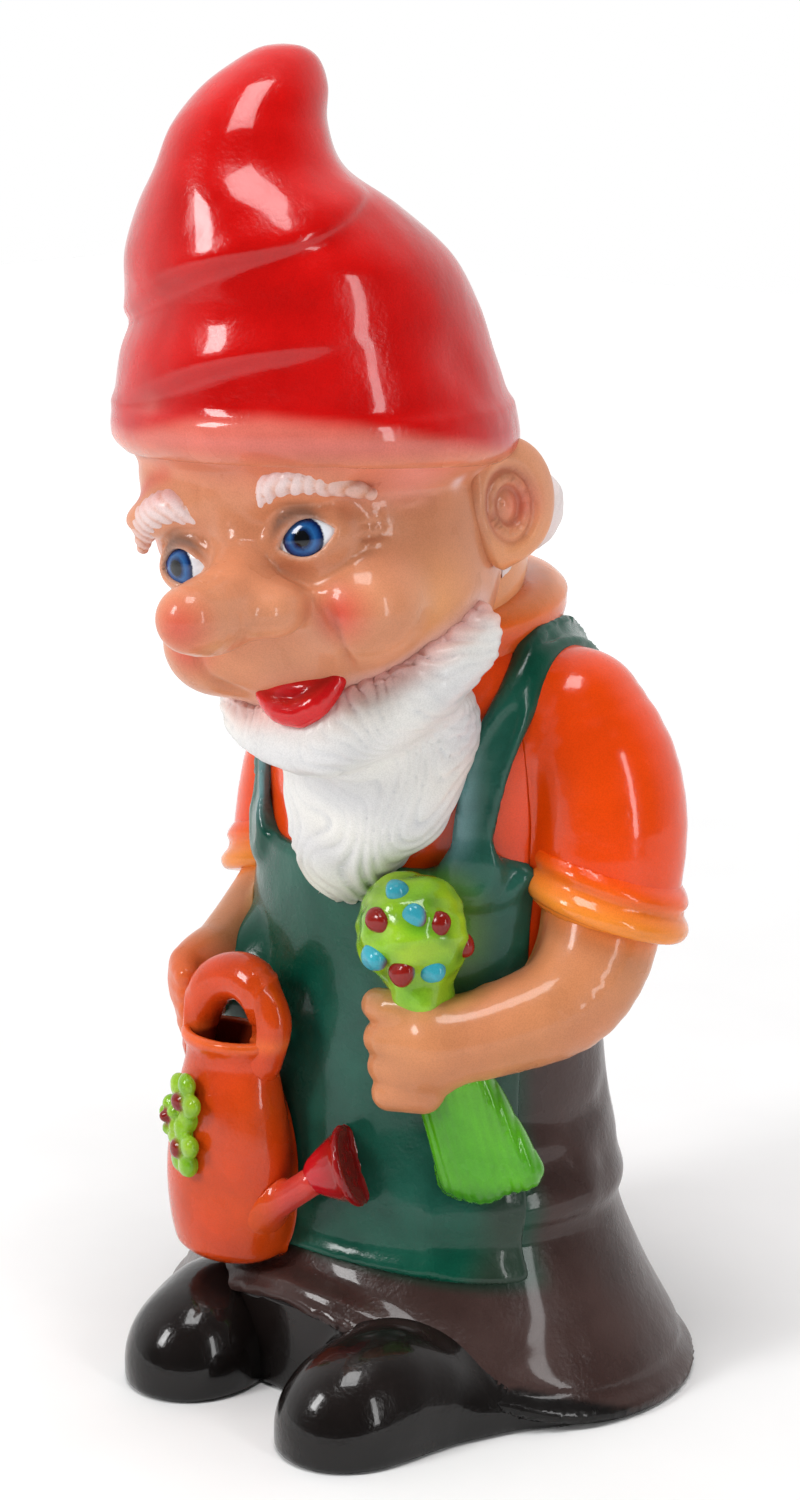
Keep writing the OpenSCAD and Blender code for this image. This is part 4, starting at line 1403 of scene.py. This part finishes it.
for piece in (
    ("trousers", f_trousers, 2.3, p_trousers, "trouser_brown"),
    ("shirt", f_shirt, 3.2, p_shirt, "shirt_orange"),
    ("collar", f_collar, 2.0, p_collar, "shirt_orange"),
    ("neck", f_neck, 3.2, p_ear, "skin"),
    ("apron", f_apron, 1.9, p_apron, "apron_green", ["strap_left", "strap_right"]),
    ("hat", f_hat, 2.0, p_hat, "hat_red", ["hat_brim"]),
    ("head", f_head, 1.7, p_head, "skin"),
    ("lips", f_lips, 1.1, p_lips, "lip_red"),
    ("beard", f_beard, 1.6, p_beard, "hair_white"),
    ("hair", f_hair, 2.0, p_hair, "hair_white"),
):
    build(*piece)
for name, side in (("left", 1), ("right", -1)):
    build(f"boot_{name}", partial(f_boot, side), 2.2, p_boot, "boot_black")
    build(f"sleeve_{name}", partial(f_sleeve, side), 2.6, p_shirt, "shirt_orange")
    build(f"cuff_{name}", partial(f_cuff, side), 2.0, partial(p_cuff, side), "shirt_orange")
    build(f"forearm_{name}", partial(f_arm, side), 1.8, partial(p_arm, side), "skin")
    build(f"ear_{name}", partial(f_ear, side), 1.3, p_ear, "skin")
    eye_paint = eye_material(f"eye_paint_{name}", PUPIL[side])
    build(f"eye_{name}", partial(f_eye, side), 1.3, p_eye, "eye_paint", material=eye_paint)
    build(f"eyebrow_{name}", partial(f_brow, side), 1.1, p_brow, "hair_white")
for piece in (
    ("can_body", f_can, 1.8, p_can, "can_orange"),
    ("can_handle", f_handle, 1.5, p_can, "can_orange"),
    ("can_spout", f_spout, 1.5, p_spout, "can_orange"),
    ("can_rose", f_rose, 1.3, p_rose, "lip_red"),
    ("can_flower", f_flower, 1.2, p_flower, "leaf_green"),
    ("bouquet_head", f_bouquet, 1.5, p_bouquet, "leaf_green"),
    ("bouquet_blossoms", f_blossoms, 1.1, p_blossoms, "blossom_paint"),
    ("bouquet_wrap", f_wrap, 1.4, p_wrap, "leaf_green"),
):
    build(*piece)

for node, material in (
    ("base_plate", plain("base_black", (0.012, 0.011, 0.011), 0.4, 300, 0.3)),
    ("filler_plug", plain("plug_moulding", (0.03, 0.03, 0.032), 0.55, 500)),
):
    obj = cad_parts[node]
    if not obj.material_slots:
        obj.data.materials.append(material)
    for entry in obj.material_slots:
        entry.material = material


# ---- Studio
FLOOR_HALF, FLOOR_Z = 5.0, -0.0004  # the floor lies just under the sole
FLOOR_CELLS = 48
BRIGHT, DARK = 0.95, 0.10  # the paper's light behind the figure, and on the camera's side


def floor():
    """A flat pale floor, as one mesh."""
    n, half = FLOOR_CELLS, FLOOR_HALF
    row = n + 1
    verts = [
        (half * (2 * i / n - 1), half * (2 * j / n - 1), FLOOR_Z) for j in range(row) for i in range(row)
    ]
    corners = [j * row + i for j in range(n) for i in range(n)]
    faces = [(c, c + 1, c + row + 1, c + row) for c in corners]
    mesh = bpy.data.meshes.new("floor")
    mesh.from_pydata(verts, [], faces)
    obj = place("floor", mesh)
    g = Graph("floor_paper")
    ramp = g.node("ValToRGB")
    for e, grey in zip(ramp.color_ramp.elements, (0.86, 0.93)):
        e.color = (grey, grey, grey, 1)
    g.link(g.noise(8, 3), ramp.inputs["Fac"])
    g.link(ramp.outputs["Color"], g.bsdf.inputs["Base Color"])
    # The paper is lit evenly into the distance, so it has no horizon
    reach = g.node("VectorMath", operation="LENGTH")
    g.link(g.node("TexCoord").outputs["Object"], reach.inputs[0])
    g.link(g.span(reach.outputs["Value"], 0.0, 0.55, 0.25, 2.2), g.bsdf.inputs["Emission Strength"])
    g.bsdf.inputs["Emission Color"].default_value = (1, 1, 1, 1)
    g.bsdf.inputs["Roughness"].default_value = 0.9
    g.bsdf.inputs["Specular IOR Level"].default_value = 0.1
    mesh.materials.append(g.owner)


def aim(obj, target):
    obj.rotation_euler = (Vector(target) - Vector(obj.location)).to_track_quat("-Z", "Y").to_euler()


def lamp(name, at, target, size, power):
    data = bpy.data.lights.new(name, "AREA")
    data.shape = "RECTANGLE"
    data.size, data.size_y = size
    data.energy = power
    obj = place(name, data)
    obj.location = at
    aim(obj, target)


def studio():
    """A soft studio: bright paper behind and to the sides, darker where the camera's side is, and white
    to the eye."""
    world = bpy.data.worlds.new("studio")
    g = Graph("studio", world)
    white = (1, 1, 1, 1)
    facing = g.node("VectorMath", operation="DOT_PRODUCT")
    facing.inputs[1].default_value = (0.63, -0.75, 0.2)
    g.link(g.node("TexCoord").outputs["Generated"], facing.inputs[0])
    lit = g.span(facing.outputs["Value"], BRIGHT, DARK, -0.35, 0.55)
    lit.node.interpolation_type = "SMOOTHSTEP"
    base = g.tree.nodes["Background"]
    base.inputs["Color"].default_value = white
    g.link(lit, base.inputs["Strength"])
    mix = g.node("MixShader")
    g.link(g.node("LightPath").outputs["Is Camera Ray"], mix.inputs["Fac"])
    g.link(base.outputs["Background"], mix.inputs[1])
    g.link(g.node("Background", Color=white).outputs["Background"], mix.inputs[2])
    g.link(mix.outputs["Shader"], g.tree.nodes["World Output"].inputs["Surface"])
    bpy.context.scene.world = world


floor()
studio()
# Name, place, target, size in metres, watts
lamp("key", (-0.75, -2.0, 1.6), (0, -0.05, 0.4), (0.5, 0.9), 30)
lamp("strip", (1.75, -0.35, 0.8), (0.1, 0, 0.35), (0.2, 1.1), 7)
lamp("top", (0.3, -0.5, 2.2), (0, 0, 0.3), (0.8, 0.8), 22)

# The photo's viewpoint, from its framing
SENSOR = 24
FOCAL, PHOTO_HEIGHT = 3025, 1500  # in pixels of the photo
camera = bpy.data.cameras.new("camera")
camera.sensor_fit = "VERTICAL"
camera.sensor_height = SENSOR
camera.lens = SENSOR * FOCAL / PHOTO_HEIGHT
camera.shift_x, camera.shift_y = 0.00477, -0.02177
camera.clip_end = 20
view = place("camera", camera)
view.location = (0.9642, -1.1491, 0.700)
aim(view, (0, 0, 0.340))
bpy.context.scene.camera = view
bpy.context.scene.view_settings.view_transform = "Standard"

bpy.context.view_layer.update()
